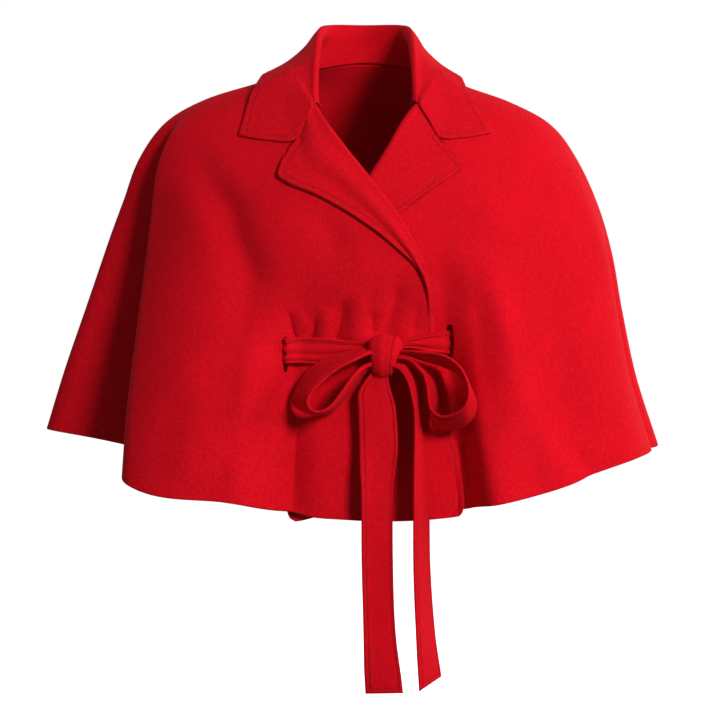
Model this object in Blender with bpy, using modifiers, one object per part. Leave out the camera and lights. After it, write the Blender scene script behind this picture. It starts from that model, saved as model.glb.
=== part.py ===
"""Short wool cape with a notched coat collar, closed by a self-cloth belt tied in a bow.

It keeps the hollow form it has when worn. Metres, +Z up, the front faces -Y, and the origin
is in the middle of the neck, at the height where the collar meets the shoulders.

The cape is one formula, sheet(turn, level). turn goes round the wearer in radians: 0 is the
front, +90 degrees the +X side and 180 degrees the back. level goes down the cloth from 0 at
the neck seam to 1 at the hem. Panels, lapels, collar edge and belt read their points from it.
"""
import math

import bmesh
import bpy
import numpy as np

OBJECT = "tie_belt_capelet"

# Cloth
CLOTH = 0.0022
LAPEL = 0.0028
BELT = 0.0026
SEAM_GAP = 0.0004
LAYER_GAP = 0.0008

# Heights of the layers in the front overlap, from the bare sheet to each layer's middle
LAPEL_LIFT = 0.5 * CLOTH + LAYER_GAP + 0.5 * LAPEL
OVERLAP_LIFT = 2.0 * LAPEL_LIFT
BELT_LIFT = 0.5 * CLOTH + LAYER_GAP + 0.5 * BELT
OVERLAP_FROM = math.radians(-46.0)
OVERLAP_FULL = math.radians(-21.0)

# A row for each level, from the neck seam to the hem. left and right are half widths, front
# is how far forward the loose cloth stands, centre the part the belt pulls in, back the
# depth behind, and the z columns are the heights at the front, both sides and the back.
RING_COLUMNS = ("left", "right", "front", "centre", "back", "z_front", "z_left", "z_right", "z_back")
RINGS = {
    "neck seam": (0.080, 0.080, 0.106, 0.106, 0.064, -0.048, 0.030, 0.030, 0.046),
    "collar edge": (0.124, 0.114, 0.112, 0.112, 0.088, -0.072, 0.017, 0.014, 0.018),
    "shoulder": (0.181, 0.164, 0.121, 0.121, 0.107, -0.100, -0.001, -0.004, -0.018),
    "shoulder end": (0.225, 0.209, 0.131, 0.131, 0.125, -0.133, -0.027, -0.029, -0.063),
    "upper arm": (0.251, 0.238, 0.139, 0.138, 0.139, -0.170, -0.067, -0.067, -0.112),
    "chest": (0.266, 0.262, 0.144, 0.138, 0.150, -0.210, -0.119, -0.119, -0.165),
    "rib": (0.283, 0.278, 0.150, 0.130, 0.160, -0.252, -0.174, -0.174, -0.222),
    "belt": (0.303, 0.289, 0.160, 0.121, 0.172, -0.302, -0.236, -0.236, -0.285),
    "below belt": (0.326, 0.305, 0.178, 0.130, 0.186, -0.378, -0.305, -0.312, -0.355),
    "hem": (0.349, 0.330, 0.196, 0.146, 0.202, -0.464, -0.376, -0.390, -0.428),
}

# How far round the belt pulls the front in, on each side, in degrees: all in, and let go
PULL_COLUMNS = ("all_in", "let_go")
PULLS = {"left": (13.0, 22.0), "right": (17.5, 25.0)}

# A row for each fold that falls from the shoulders. turn and half_width are in degrees, out
# and along are the shift at the hem, drop lowers the hem, and start is the level it starts at.
FOLD_COLUMNS = ("turn", "half_width", "out", "along", "drop", "start")
FOLDS = {
    "left front flute": (-43.0, 20.0, 0.024, 0.006, -0.014, 0.20),
    "left recess": (-67.0, 20.0, -0.100, 0.028, -0.018, 0.25),
    "left side flare": (-93.0, 20.0, 0.010, 0.000, 0.000, 0.35),
    "left back valley": (-117.0, 17.0, -0.024, 0.000, 0.000, 0.40),
    "left back flute": (-140.0, 18.0, 0.024, 0.000, 0.000, 0.35),
    "back valley": (-163.0, 16.0, -0.018, 0.000, 0.000, 0.45),
    "back flute": (176.0, 17.0, 0.012, 0.000, 0.000, 0.45),
    "right back valley": (153.0, 16.0, -0.020, 0.000, 0.000, 0.40),
    "right back flute": (131.0, 17.0, 0.022, 0.000, 0.000, 0.35),
    "right side valley": (109.0, 16.0, -0.018, 0.000, 0.000, 0.45),
    "right front roll": (56.0, 24.0, 0.010, 0.000, 0.004, 0.45),
    "right dart fold": (26.0, 9.0, 0.014, -0.006, 0.000, 0.72),
}

# Front edges in the front view, top to bottom: x, z
EDGE_COLUMNS = ("x", "z")
OVER_EDGE = {
    "neck corner": (-0.0565, -0.0098),
    "roll top": (-0.0450, -0.0290),
    "roll upper": (-0.0250, -0.0570),
    "crossing": (0.0044, -0.0945),
    "roll middle": (0.0330, -0.1320),
    "roll lower": (0.0570, -0.1730),
    "break": (0.0720, -0.2180),
    "above belt": (0.0745, -0.2500),
    "belt": (0.0780, -0.2800),
    "below belt": (0.0880, -0.3300),
    "skirt": (0.1030, -0.4130),
    "hem": (0.1090, -0.4605),
}
UNDER_EDGE = {
    "neck corner": (0.0570, -0.0098),
    "roll top": (0.0430, -0.0290),
    "roll upper": (0.0280, -0.0560),
    "crossing": (0.0044, -0.0945),
    "roll middle": (-0.0200, -0.1330),
    "roll lower": (-0.0430, -0.1740),
    "break": (-0.0550, -0.2180),
    "above belt": (-0.0570, -0.2500),
    "belt": (-0.0600, -0.2800),
    "below belt": (-0.0680, -0.3300),
    "skirt": (-0.0820, -0.4130),
    "hem": (-0.0880, -0.4680),
}
OVER_DROP = 0.006
UNDER_DROP = 0.010
CORNER_RADIUS = 0.012
# Rows of the rounded corner as shares of its radius above the hem, and the share left clear
CORNER_ROWS = (1.0, 0.5, 0.15, 0.0)
CORNER_CLEAR = 1.6
SEAM_TURN = {"left": math.radians(-84.0), "right": math.radians(86.0)}

# Lapels in the front view: the outer edge from the notch round the tip to the break
OVER_LAPEL = {
    "notch": (-0.0750, -0.0535),
    "tip upper": (-0.0940, -0.0820),
    "tip": (-0.0962, -0.0925),
    "tip lower": (-0.0880, -0.0990),
    "edge upper": (-0.0540, -0.1140),
    "edge middle": (-0.0090, -0.1400),
    "edge lower": (0.0330, -0.1720),
    "edge end": (0.0640, -0.2060),
    "break": (0.0690, -0.2440),
}
UNDER_LAPEL = {
    "notch": (0.0800, -0.0505),
    "tip upper": (0.1030, -0.0770),
    "tip": (0.1065, -0.0850),
    "tip lower": (0.1000, -0.0900),
    "edge upper": (0.0700, -0.1110),
    "edge middle": (0.0350, -0.1370),
    "edge lower": (0.0020, -0.1620),
    "edge end": (-0.0250, -0.1880),
    "break": (-0.0400, -0.2130),
}
LAPEL_TOPS = {"over": -0.0155, "under": -0.0130}
ROLL_LIFT = 0.003

# Collar stations from the front end round to the middle of the back. The leaf edge lies over
# the sheet at turn (degrees) and level, lifted; the roll is its highest line.
COLLAR_COLUMNS = ("turn", "level", "lift", "roll_x", "roll_y", "roll_z")
COLLAR = {
    "behind tip": (63.0, 0.150, 0.0060, 0.0565, -0.052, 0.026),
    "side front": (76.0, 0.105, 0.0075, 0.0560, -0.018, 0.057),
    "side": (92.0, 0.080, 0.0080, 0.0535, 0.020, 0.081),
    "side back": (124.0, 0.092, 0.0080, 0.0420, 0.052, 0.089),
    "back": (180.0, 0.125, 0.0070, 0.0000, 0.072, 0.091),
}
# Front ends of the collar in the front view, from the seam inside, over the roll, down the
# gorge seam beside the lapel to the notch, and out along the lower edge to the tip
COLLAR_ENDS = {
    "left": {
        "seam": (-0.0480, -0.0130),
        "stand": (-0.0495, -0.0095),
        "roll in": (-0.0515, -0.0070),
        "roll": (-0.0545, -0.0065),
        "roll out": (-0.0577, -0.0190),
        "gorge": (-0.0652, -0.0332),
        "notch": (-0.0758, -0.0522),
        "edge": (-0.1080, -0.0520),
        "tip": (-0.1400, -0.0463),
    },
    "right": {
        "seam": (0.0490, -0.0120),
        "stand": (0.0505, -0.0085),
        "roll in": (0.0525, -0.0060),
        "roll": (0.0555, -0.0055),
        "roll out": (0.0598, -0.0168),
        "gorge": (0.0686, -0.0302),
        "notch": (0.0808, -0.0490),
        "edge": (0.1100, -0.0488),
        "tip": (0.1400, -0.0430),
    },
}
# How far behind the front's neck corner the seam, stand and roll lie at the ends
COLLAR_END_DEPTHS = (0.0088, 0.0063, 0.0008, -0.0037)
COLLAR_BULGE = 0.003
# The fall starts at this point of a section, and clears the fronts by this much more there
FALL_FROM = 4
FALL_RISE = (0.0040, 0.0030, 0.0010, 0.0000, 0.0000)
COLLAR_ROLL = 0.0034

# Belt, in the front view: slits at x, from z_top to z_bottom
SLIT_COLUMNS = ("x", "z_top", "z_bottom", "width")
SLITS = {
    "left": (-0.0870, -0.2690, -0.3070, 0.0052),
    "right": (0.0905, -0.2560, -0.2925, 0.0060),
}
# The belt inside, round the waist: turns of its sections in degrees, half width and depths
WAIST_TURNS = (-62.0, -90.0, -118.0, -150.0, -180.0, -210.0, -242.0, -270.0, -298.0)
WAIST_HALF_WIDTH = 0.136
WAIST_FRONT = 0.130
WAIST_BACK = 0.100
WAIST_WIDTH = 0.030
KNOT = {"x": 0.0203, "z": -0.2895, "half_width": 0.0150, "half_depth": 0.0135, "half_height": 0.0235}
KNOT_LIFT = 0.0170

# Belt runs lying flat or hanging, in the front view: the middle line at x and z, lifted off
# the front, the direction across the belt, and its width, gathered where it nears the knot
RUN_COLUMNS = ("x", "z", "lift", "across_x", "across_y", "across_z", "width")
BAND_LEFT = {
    "knot": (0.0160, -0.2815, 0.0110, 0.10, 0.00, 1.00, 0.008),
    "near knot": (0.0020, -0.2812, 0.0070, 0.05, -0.05, 1.00, 0.012),
    "gathered": (-0.0184, -0.2828, 0.0052, 0.00, -0.14, 1.00, 0.020),
    "middle": (-0.0455, -0.2842, 0.0044, 0.00, -0.15, 1.00, 0.029),
    "near slit": (-0.0700, -0.2832, 0.0046, 0.00, -0.12, 1.00, 0.029),
    "bend": (-0.0840, -0.2838, 0.0046, 0.00, -0.12, 1.00, 0.028),
    "turn in": (-0.0868, -0.2838, 0.0022, 0.00, -0.12, 1.00, 0.028),
    "inside": (-0.0870, -0.2838, -0.0012, 0.00, -0.12, 1.00, 0.028),
    "behind": (-0.0886, -0.2838, -0.0040, 0.00, -0.12, 1.00, 0.028),
}
BAND_RIGHT = {
    "knot": (0.0250, -0.2800, 0.0110, -0.10, 0.00, 1.00, 0.008),
    "near knot": (0.0390, -0.2775, 0.0070, -0.10, -0.05, 1.00, 0.009),
    "gathered": (0.0480, -0.2755, 0.0055, -0.10, -0.15, 1.00, 0.011),
    "middle": (0.0680, -0.2749, 0.0050, -0.05, -0.17, 1.00, 0.020),
    "over edge": (0.0800, -0.2746, 0.0045, 0.00, -0.17, 1.00, 0.024),
    "bend": (0.0880, -0.2744, 0.0018, 0.00, -0.17, 1.00, 0.026),
    "turn in": (0.0903, -0.2744, -0.0025, 0.00, -0.17, 1.00, 0.026),
    "inside": (0.0907, -0.2744, -0.0070, 0.00, -0.17, 1.00, 0.026),
    "behind": (0.0923, -0.2744, -0.0102, 0.00, -0.17, 1.00, 0.026),
}
# Loops of the bow: x and z of the edge nearest the viewer, lift of the far edge off the
# front, and how far that far edge is shifted. The width gives the depth between the two.
LOOP_COLUMNS = ("x", "z", "lift", "shift_x", "shift_z", "width")
LOOP_LEFT = {
    "out of knot": (0.0140, -0.2850, 0.0105, -0.0020, 0.0030, 0.014),
    "gathered": (0.0010, -0.2880, 0.0105, -0.0030, 0.0060, 0.022),
    "upper near": (-0.0130, -0.2950, 0.0105, -0.0055, 0.0095, 0.030),
    "upper": (-0.0280, -0.3030, 0.0095, -0.0110, 0.0125, 0.036),
    "crown": (-0.0435, -0.3145, 0.0100, -0.0150, 0.0120, 0.040),
    "outer": (-0.0570, -0.3285, 0.0120, -0.0170, 0.0045, 0.040),
    "end": (-0.0615, -0.3390, 0.0130, -0.0170, 0.0010, 0.040),
    "bottom": (-0.0575, -0.3470, 0.0120, -0.0120, -0.0005, 0.040),
    "turn back": (-0.0485, -0.3495, 0.0100, -0.0055, -0.0030, 0.040),
    "inner low": (-0.0370, -0.3430, 0.0085, 0.0010, -0.0060, 0.040),
    "inner": (-0.0250, -0.3275, 0.0090, 0.0045, -0.0055, 0.038),
    "inner upper": (-0.0130, -0.3110, 0.0100, 0.0055, -0.0045, 0.032),
    "gathered in": (-0.0010, -0.3005, 0.0105, 0.0045, -0.0030, 0.022),
    "into knot": (0.0120, -0.2960, 0.0105, 0.0030, -0.0020, 0.014),
}
LOOP_RIGHT = {
    "out of knot": (0.0315, -0.2840, 0.0105, 0.0010, -0.0010, 0.012),
    "gathered": (0.0445, -0.2845, 0.0105, 0.0020, -0.0030, 0.018),
    "upper near": (0.0575, -0.2850, 0.0105, 0.0045, -0.0080, 0.028),
    "upper": (0.0725, -0.2860, 0.0110, 0.0055, -0.0120, 0.034),
    "crown": (0.0885, -0.2910, 0.0170, 0.0055, -0.0135, 0.038),
    "outer upper": (0.1015, -0.3020, 0.0270, 0.0065, -0.0135, 0.040),
    "outer": (0.1090, -0.3175, 0.0360, 0.0075, -0.0140, 0.040),
    "end": (0.1100, -0.3325, 0.0390, 0.0090, -0.0130, 0.040),
    "end low": (0.1045, -0.3445, 0.0350, 0.0090, -0.0145, 0.040),
    "bottom": (0.0940, -0.3515, 0.0250, 0.0075, -0.0155, 0.040),
    "bottom in": (0.0825, -0.3540, 0.0150, 0.0050, -0.0170, 0.040),
    "turn back": (0.0735, -0.3495, 0.0110, 0.0020, -0.0170, 0.040),
    "inner low": (0.0685, -0.3405, 0.0100, 0.0050, -0.0130, 0.040),
    "inner": (0.0670, -0.3275, 0.0100, 0.0110, -0.0095, 0.040),
    "inner upper": (0.0635, -0.3115, 0.0100, 0.0115, -0.0070, 0.038),
    "inner near": (0.0540, -0.2990, 0.0100, 0.0075, -0.0045, 0.030),
    "gathered in": (0.0450, -0.2925, 0.0105, 0.0040, -0.0020, 0.018),
    "into knot": (0.0315, -0.2905, 0.0105, 0.0030, -0.0010, 0.012),
}
TAIL_LEFT = {
    "knot": (0.0180, -0.3020, 0.0170, 1.00, 0.00, 0.00, 0.014),
    "out": (0.0125, -0.3160, 0.0165, 1.00, 0.00, 0.00, 0.026),
    "spread": (0.0105, -0.3305, 0.0165, 1.00, 0.05, 0.00, 0.037),
    "upper": (0.0130, -0.3480, 0.0165, 1.00, 0.10, 0.00, 0.041),
    "fall": (0.0146, -0.3866, 0.0165, 1.00, 0.10, 0.00, 0.042),
    "middle": (0.0130, -0.4340, 0.0170, 0.85, 0.52, 0.00, 0.041),
    "lower": (0.0130, -0.5100, 0.0170, 0.82, 0.57, 0.00, 0.041),
    "low": (0.0156, -0.5916, 0.0170, 0.85, 0.52, 0.00, 0.041),
    "end": (0.0205, -0.6530, 0.0170, 0.99, 0.10, 0.00, 0.041),
}
TAIL_RIGHT = {
    "knot": (0.0270, -0.2985, 0.0230, 0.60, 0.75, 0.20, 0.012),
    "out": (0.0410, -0.3020, 0.0250, 0.50, 0.80, 0.25, 0.018),
    "shoulder": (0.0505, -0.3130, 0.0255, 0.40, 0.88, 0.20, 0.028),
    "fall": (0.0555, -0.3310, 0.0250, 0.28, 0.94, 0.10, 0.038),
    "upper": (0.0572, -0.3600, 0.0240, 0.18, 0.98, 0.00, 0.041),
    "middle": (0.0600, -0.4350, 0.0240, 0.38, 0.92, 0.00, 0.041),
    "lower": (0.0610, -0.5200, 0.0240, 0.43, 0.90, 0.00, 0.041),
    "low": (0.0650, -0.5900, 0.0240, 0.50, 0.87, 0.00, 0.041),
    "end": (0.0700, -0.6420, 0.0240, 0.58, 0.75, 0.30, 0.041),
}

# Grid sizes: columns round or across, rows down
PANEL_COLUMNS = 34
PANEL_ROWS = 18
BACK_COLUMNS = 36
LAPEL_COLUMNS = 7
LAPEL_ROWS = 14
COLLAR_STEPS = 4
WAIST_STEPS = 26
RUN_STEPS = 3
BAND_COLUMNS = 3

# Colours, linear RGB
RED = (0.52, 0.004, 0.012, 1.0)
RED_FOLDED = (0.45, 0.003, 0.010, 1.0)
RED_BELT = (0.50, 0.004, 0.013, 1.0)
WOOL_ROUGHNESS = 0.9

# The belt's ends hang straight below this height
HANG_FROM = -0.445

# Newton's method: how small a step the slopes are taken over, and how far one round may go
STEP = 1e-4
SOLVE_ROUNDS = 20
TURN_STEP = 0.12
LEVEL_STEP = 0.05
TURN_LIMIT = 1.6
CLEAR_ROUNDS = 3


def column(table, columns, name):
    """One named column of a table as an array."""
    place = columns.index(name)
    return np.array([row[place] for row in table.values()])


def smooth_through(knots, values, at):
    """Cubic curve through a table, each slope taken from the row's neighbours."""
    knots = np.asarray(knots, dtype=float)
    values = np.asarray(values, dtype=float)
    at = np.clip(at, knots[0], knots[-1])
    slopes = np.gradient(values, knots, axis=0)
    first = np.clip(np.searchsorted(knots, at, side="right") - 1, 0, len(knots) - 2)
    span = knots[first + 1] - knots[first]
    part = (at - knots[first]) / span
    for _ in range(values.ndim - 1):
        part = part[..., None]
        span = span[..., None]
    from_first = (1 + 2 * part) * (1 - part) ** 2 * values[first]
    from_first_slope = part * (1 - part) ** 2 * span * slopes[first]
    from_next = part ** 2 * (3 - 2 * part) * values[first + 1]
    from_next_slope = part ** 2 * (part - 1) * span * slopes[first + 1]
    return from_first + from_first_slope + from_next + from_next_slope


def ease(value):
    """Smooth step from 0 to 1."""
    part = np.clip(value, 0.0, 1.0)
    return part * part * (3 - 2 * part)


def ring_value(name, level):
    """One column of the ring table at any level."""
    values = column(RINGS, RING_COLUMNS, name)
    return smooth_through(np.linspace(0.0, 1.0, len(values)), values, level)


def wrapped(turn):
    """A turn brought between minus and plus half a circle."""
    return (turn + math.pi) % (2 * math.pi) - math.pi


def belt_pull(turn):
    """1 where the belt holds the front in, 0 where the cloth is loose."""
    degrees = np.degrees(wrapped(turn))
    left_in, left_out = PULLS["left"]
    right_in, right_out = PULLS["right"]
    left = ease((-degrees - left_in) / (left_out - left_in))
    right = ease((degrees - right_in) / (right_out - right_in))
    return (1 - left) * (1 - right)


def sheet(turn, level):
    """Points of the bare cape sheet: an ellipse at each level, tilted, with its folds."""
    side = np.sin(turn)
    ahead = np.cos(turn)
    left = ring_value("left", level)
    right = ring_value("right", level)
    width = 0.5 * (right + left) + 0.5 * (right - left) * side
    loose = ring_value("front", level)
    front = loose + (ring_value("centre", level) - loose) * belt_pull(turn)
    depth = np.where(ahead > 0, front, ring_value("back", level))
    z_left = ring_value("z_left", level)
    z_right = ring_value("z_right", level)
    z_side = 0.5 * (z_right + z_left) + 0.5 * (z_right - z_left) * side
    z_end = np.where(ahead > 0, ring_value("z_front", level), ring_value("z_back", level))
    x = width * side
    y = -depth * ahead
    z = z_side + (z_end - z_side) * ahead ** 2
    out_x = side / width
    out_y = -ahead / depth
    length = np.hypot(out_x, out_y)
    out_x = out_x / length
    out_y = out_y / length
    for fold_turn, half_width, out, along, drop, start in FOLDS.values():
        away = np.degrees(wrapped(turn - math.radians(fold_turn))) / half_width
        reach = np.where(np.abs(away) < 1, np.cos(0.5 * math.pi * np.clip(away, -1, 1)) ** 2, 0.0)
        grown = np.clip((level - start) / (1 - start), 0.0, 1.0) ** 1.25
        amount = reach * grown
        x = x + amount * (out * out_x - along * out_y)
        y = y + amount * (out * out_y + along * out_x)
        z = z + amount * drop
    return np.stack([x, y, z], axis=-1)


def raised(turn, level, lift):
    """Points of the sheet moved out along its own normal."""
    turn = np.asarray(turn, dtype=float)
    level = np.asarray(level, dtype=float)
    inner = np.clip(level, STEP, 1 - STEP)
    round_it = sheet(turn + STEP, inner) - sheet(turn - STEP, inner)
    down_it = sheet(turn, inner + STEP) - sheet(turn, inner - STEP)
    normal = np.cross(down_it, round_it)
    normal /= np.linalg.norm(normal, axis=-1, keepdims=True)
    lift = np.broadcast_to(lift, turn.shape)
    return sheet(turn, level) + normal * lift[..., None]


def overlap(turn):
    """How far the front that laps over stands off the sheet, to leave room for the other."""
    return OVERLAP_LIFT * ease((wrapped(turn) - OVERLAP_FROM) / (OVERLAP_FULL - OVERLAP_FROM))


def over_front(turn, level, lift=0.0):
    """Middle of the front that laps over, or of what lies on it, with its longer corner."""
    points = raised(turn, level, overlap(turn) + lift)
    longer = ease((np.degrees(wrapped(turn)) + 30) / 50) * np.clip(level, 0, 1) ** 6
    points[..., 2] -= OVER_DROP * longer
    return points


def under_front(turn, level, lift=0.0):
    """Middle of the front underneath, or of what lies on it, with its longer corner."""
    points = raised(turn, level, np.broadcast_to(lift, np.shape(turn)))
    longer = ease((-7 - np.degrees(wrapped(turn))) / 7) * np.clip(level, 0, 1) ** 6
    points[..., 2] -= UNDER_DROP * longer
    return points


def find(layer, x, z, lift=0.0):
    """Turn and level where a layer lies at x and z in the front view, by Newton's method."""
    x = np.asarray(x, dtype=float)
    z = np.asarray(z, dtype=float)
    heights = column(RINGS, RING_COLUMNS, "z_front")
    level = np.clip(np.interp(-z, -heights, np.linspace(0, 1, len(heights))), STEP, 1.0)
    turn = np.arcsin(np.clip(x / ring_value("right", level), -0.95, 0.95))
    for _ in range(SOLVE_ROUNDS):
        here = layer(turn, level, lift)
        by_turn = (layer(turn + STEP, level, lift) - here) / STEP
        by_level = (layer(turn, level - STEP, lift) - here) / -STEP
        miss_x = x - here[..., 0]
        miss_z = z - here[..., 2]
        size = by_turn[..., 0] * by_level[..., 2] - by_level[..., 0] * by_turn[..., 2]
        turn_step = (miss_x * by_level[..., 2] - miss_z * by_level[..., 0]) / size
        level_step = (miss_z * by_turn[..., 0] - miss_x * by_turn[..., 2]) / size
        turn = np.clip(turn + np.clip(turn_step, -TURN_STEP, TURN_STEP), -TURN_LIMIT, TURN_LIMIT)
        level = np.clip(level + np.clip(level_step, -LEVEL_STEP, LEVEL_STEP), STEP, 1.0)
    for _ in range(SOLVE_ROUNDS):
        here = layer(turn, level, lift)
        pace = (layer(turn + STEP, level, lift) - here)[..., 0] / STEP
        held = (level <= STEP) | (level >= 1.0)
        turn = turn + held * np.clip((x - here[..., 0]) / pace, -TURN_STEP, TURN_STEP)
    return turn, level


def on_layer(layer, x, z, lift):
    """Points over a layer at x and z in the front view, lifted off it."""
    turn, level = find(layer, x, z, lift)
    return layer(turn, level, lift)


def along(table, columns, count):
    """A table's rows read at even steps of their length, with a smooth curve between them."""
    rows = np.array([row for row in table.values()])
    reach = np.linalg.norm(np.diff(rows[:, :2], axis=0), axis=1)
    knots = np.concatenate(([0.0], np.cumsum(reach)))
    at = np.linspace(0.0, knots[-1], count)
    points = smooth_through(knots, rows, at)
    return {name: points[:, place] for place, name in enumerate(columns)}


def material(name, colour):
    """Matte wool in one colour."""
    made = bpy.data.materials.new(name)
    made.use_nodes = True
    surface = made.node_tree.nodes["Principled BSDF"]
    surface.inputs["Base Color"].default_value = colour
    surface.inputs["Roughness"].default_value = WOOL_ROUGHNESS
    surface.inputs["Metallic"].default_value = 0.0
    return made


def collection(name):
    """A new collection in the scene."""
    made = bpy.data.collections.new(name)
    bpy.context.scene.collection.children.link(made)
    return made


def add_object(name, mesh, home, colour):
    """An object for a mesh, smooth shaded, in its collection and its own material."""
    for face in mesh.polygons:
        face.use_smooth = True
    made = bpy.data.objects.new(name, mesh)
    home.objects.link(made)
    if colour:
        mesh.materials.append(material(name, colour))
    return made


def cloth(name, points, thickness, home, colour):
    """A wall of cloth: a grid of points, rows by columns, thickened both ways by Solidify."""
    rows, columns = points.shape[:2]
    index = np.arange(rows * columns).reshape(rows, columns)
    corners = [index[:-1, :-1], index[1:, :-1], index[1:, 1:], index[:-1, 1:]]
    faces = np.stack(corners, axis=-1).reshape(-1, 4)
    mesh = bpy.data.meshes.new(name)
    mesh.from_pydata(points.reshape(-1, 3).tolist(), [], faces.tolist())
    mesh.update()
    made = add_object(name, mesh, home, colour)
    wall = made.modifiers.new("wall", "SOLIDIFY")
    wall.thickness = thickness
    wall.offset = 0.0
    return made


def wall(name, outside, inside, home, colour):
    """A wall of cloth between two matching grids of points, closed all round its edge."""
    rows, columns = outside.shape[:2]
    outer = np.arange(rows * columns).reshape(rows, columns)
    inner = outer + rows * columns
    faces = []
    for grid, way in ((outer, 1), (inner, -1)):
        corners = [grid[:-1, :-1], grid[1:, :-1], grid[1:, 1:], grid[:-1, 1:]]
        faces.append(np.stack(corners[::way], axis=-1).reshape(-1, 4))
    rims = [outer[0, ::-1], outer[-1], outer[:, 0], outer[::-1, -1]]
    for rim in rims:
        under = rim + rows * columns
        faces.append(np.stack([rim[:-1], under[:-1], under[1:], rim[1:]], axis=-1))
    points = np.concatenate([outside.reshape(-1, 3), inside.reshape(-1, 3)])
    mesh = bpy.data.meshes.new(name)
    mesh.from_pydata(points.tolist(), [], np.concatenate(faces).tolist())
    mesh.update()
    return add_object(name, mesh, home, colour)


def cut(made, cutter):
    """Take a cutter's shape out of an object."""
    gap = made.modifiers.new("cut " + cutter.name, "BOOLEAN")
    gap.operation = "DIFFERENCE"
    gap.solver = "EXACT"
    gap.object = cutter


def hide(cutter):
    """Mark a cutter as a guide."""
    cutter.hide_render = True
    cutter.display_type = "WIRE"


def slit_cutter(side, layer, home):
    """A box through a front panel where the belt comes out."""
    x, z_top, z_bottom, width = SLITS[side]
    middle = 0.5 * (z_top + z_bottom)
    place = on_layer(layer, x, middle, 0.0)
    shape = bmesh.new()
    bmesh.ops.create_cube(shape, size=1.0)
    bmesh.ops.scale(shape, vec=(width, 10 * CLOTH, z_top - z_bottom), verts=shape.verts)
    bmesh.ops.translate(shape, vec=(x, place[1], middle), verts=shape.verts)
    mesh = bpy.data.meshes.new("slit " + side)
    shape.to_mesh(mesh)
    shape.free()
    cutter = add_object("slit " + side, mesh, home, None)
    hide(cutter)
    return cutter


def panel_levels():
    """Levels of a panel's rows, the last few close together for the rounded hem corner."""
    fall = ring_value("z_front", 0.0) - ring_value("z_front", 1.0)
    rows = np.linspace(0.0, 1.0, PANEL_ROWS)
    above = rows[rows < 1.0 - CORNER_CLEAR * CORNER_RADIUS / fall]
    from_hem = np.array(CORNER_ROWS) * CORNER_RADIUS
    return np.concatenate([above, 1.0 - from_hem / fall]), from_hem


def front_panel(name, layer, edge, seam_turn, slit, home, cutters):
    """A front, from its own edge round to the side seam, with its belt slit cut through."""
    line = along(edge, EDGE_COLUMNS, PANEL_ROWS)
    outer = math.copysign(1.0, line["x"][-1])
    turn_edge, level_edge = find(layer, line["x"], line["z"])
    level_edge[0] = 0.0
    level_edge[-1] = 1.0
    rows = np.linspace(0.0, 1.0, PANEL_ROWS)
    levels, from_hem = panel_levels()
    corner = len(from_hem)
    turn_edge = smooth_through(rows, turn_edge, levels)
    level_edge = smooth_through(rows, level_edge, levels)
    level_edge[-corner:] = levels[-corner:]
    inward = CORNER_RADIUS - np.sqrt(CORNER_RADIUS ** 2 - (CORNER_RADIUS - from_hem) ** 2)
    turn_edge[-corner:] -= outer * inward / ring_value("right", 1.0)
    share = np.linspace(0.0, 1.0, PANEL_COLUMNS)
    turn = turn_edge[:, None] + (seam_turn - turn_edge[:, None]) * share
    level = level_edge[:, None] + (levels[:, None] - level_edge[:, None]) * ease(share)
    if outer > 0:
        turn = turn[:, ::-1]
        level = level[:, ::-1]
    panel = wall(name, layer(turn, level, 0.5 * CLOTH), layer(turn, level, -0.5 * CLOTH), home, RED)
    cutter = slit_cutter(slit, layer, cutters)
    cut(panel, cutter)
    return panel


def back_panel(home):
    """The back, in one piece from side seam to side seam, a seam gap short of both."""
    rows, _ = panel_levels()
    start = np.full(len(rows), SEAM_TURN["right"])
    end = np.full(len(rows), SEAM_TURN["left"] + 2 * math.pi)
    for turn, way in ((start, 1.0), (end, -1.0)):
        pace = np.linalg.norm(sheet(turn + STEP, rows) - sheet(turn - STEP, rows), axis=-1)
        turn += way * SEAM_GAP * 2 * STEP / pace
    share = np.linspace(0.0, 1.0, BACK_COLUMNS)
    turn = start[:, None] + (end - start)[:, None] * share
    level = np.broadcast_to(rows[:, None], turn.shape)
    return wall("back", raised(turn, level, 0.5 * CLOTH), raised(turn, level, -0.5 * CLOTH), home, RED)


def lapel(name, layer, edge, outline, top, roll, home):
    """A lapel turned back over its front, from the roll line to its outer edge."""
    outer = along(outline, EDGE_COLUMNS, LAPEL_ROWS)
    rows = np.array([row for row in edge.values()])
    heights = -rows[:, 1]
    bottom = outer["z"][-1]
    roll_z = np.linspace(top, bottom, LAPEL_ROWS)
    roll_x = smooth_through(heights, rows[:, 0], -roll_z)
    share = np.linspace(0.0, 1.0, LAPEL_COLUMNS)
    x = roll_x[:, None] + (outer["x"] - roll_x)[:, None] * share
    z = roll_z[:, None] + (outer["z"] - roll_z)[:, None] * share
    lift = LAPEL_LIFT + roll * np.sin(math.pi * np.clip(share * 1.6, 0, 1)) * (share < 0.625)
    lift = np.broadcast_to(lift, x.shape)
    points = on_layer(layer, x, z, lift)
    if outer["x"][0] > 0:
        points = points[:, ::-1]
    return cloth(name, points[:, ::-1], LAPEL, home, RED_FOLDED)


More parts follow.
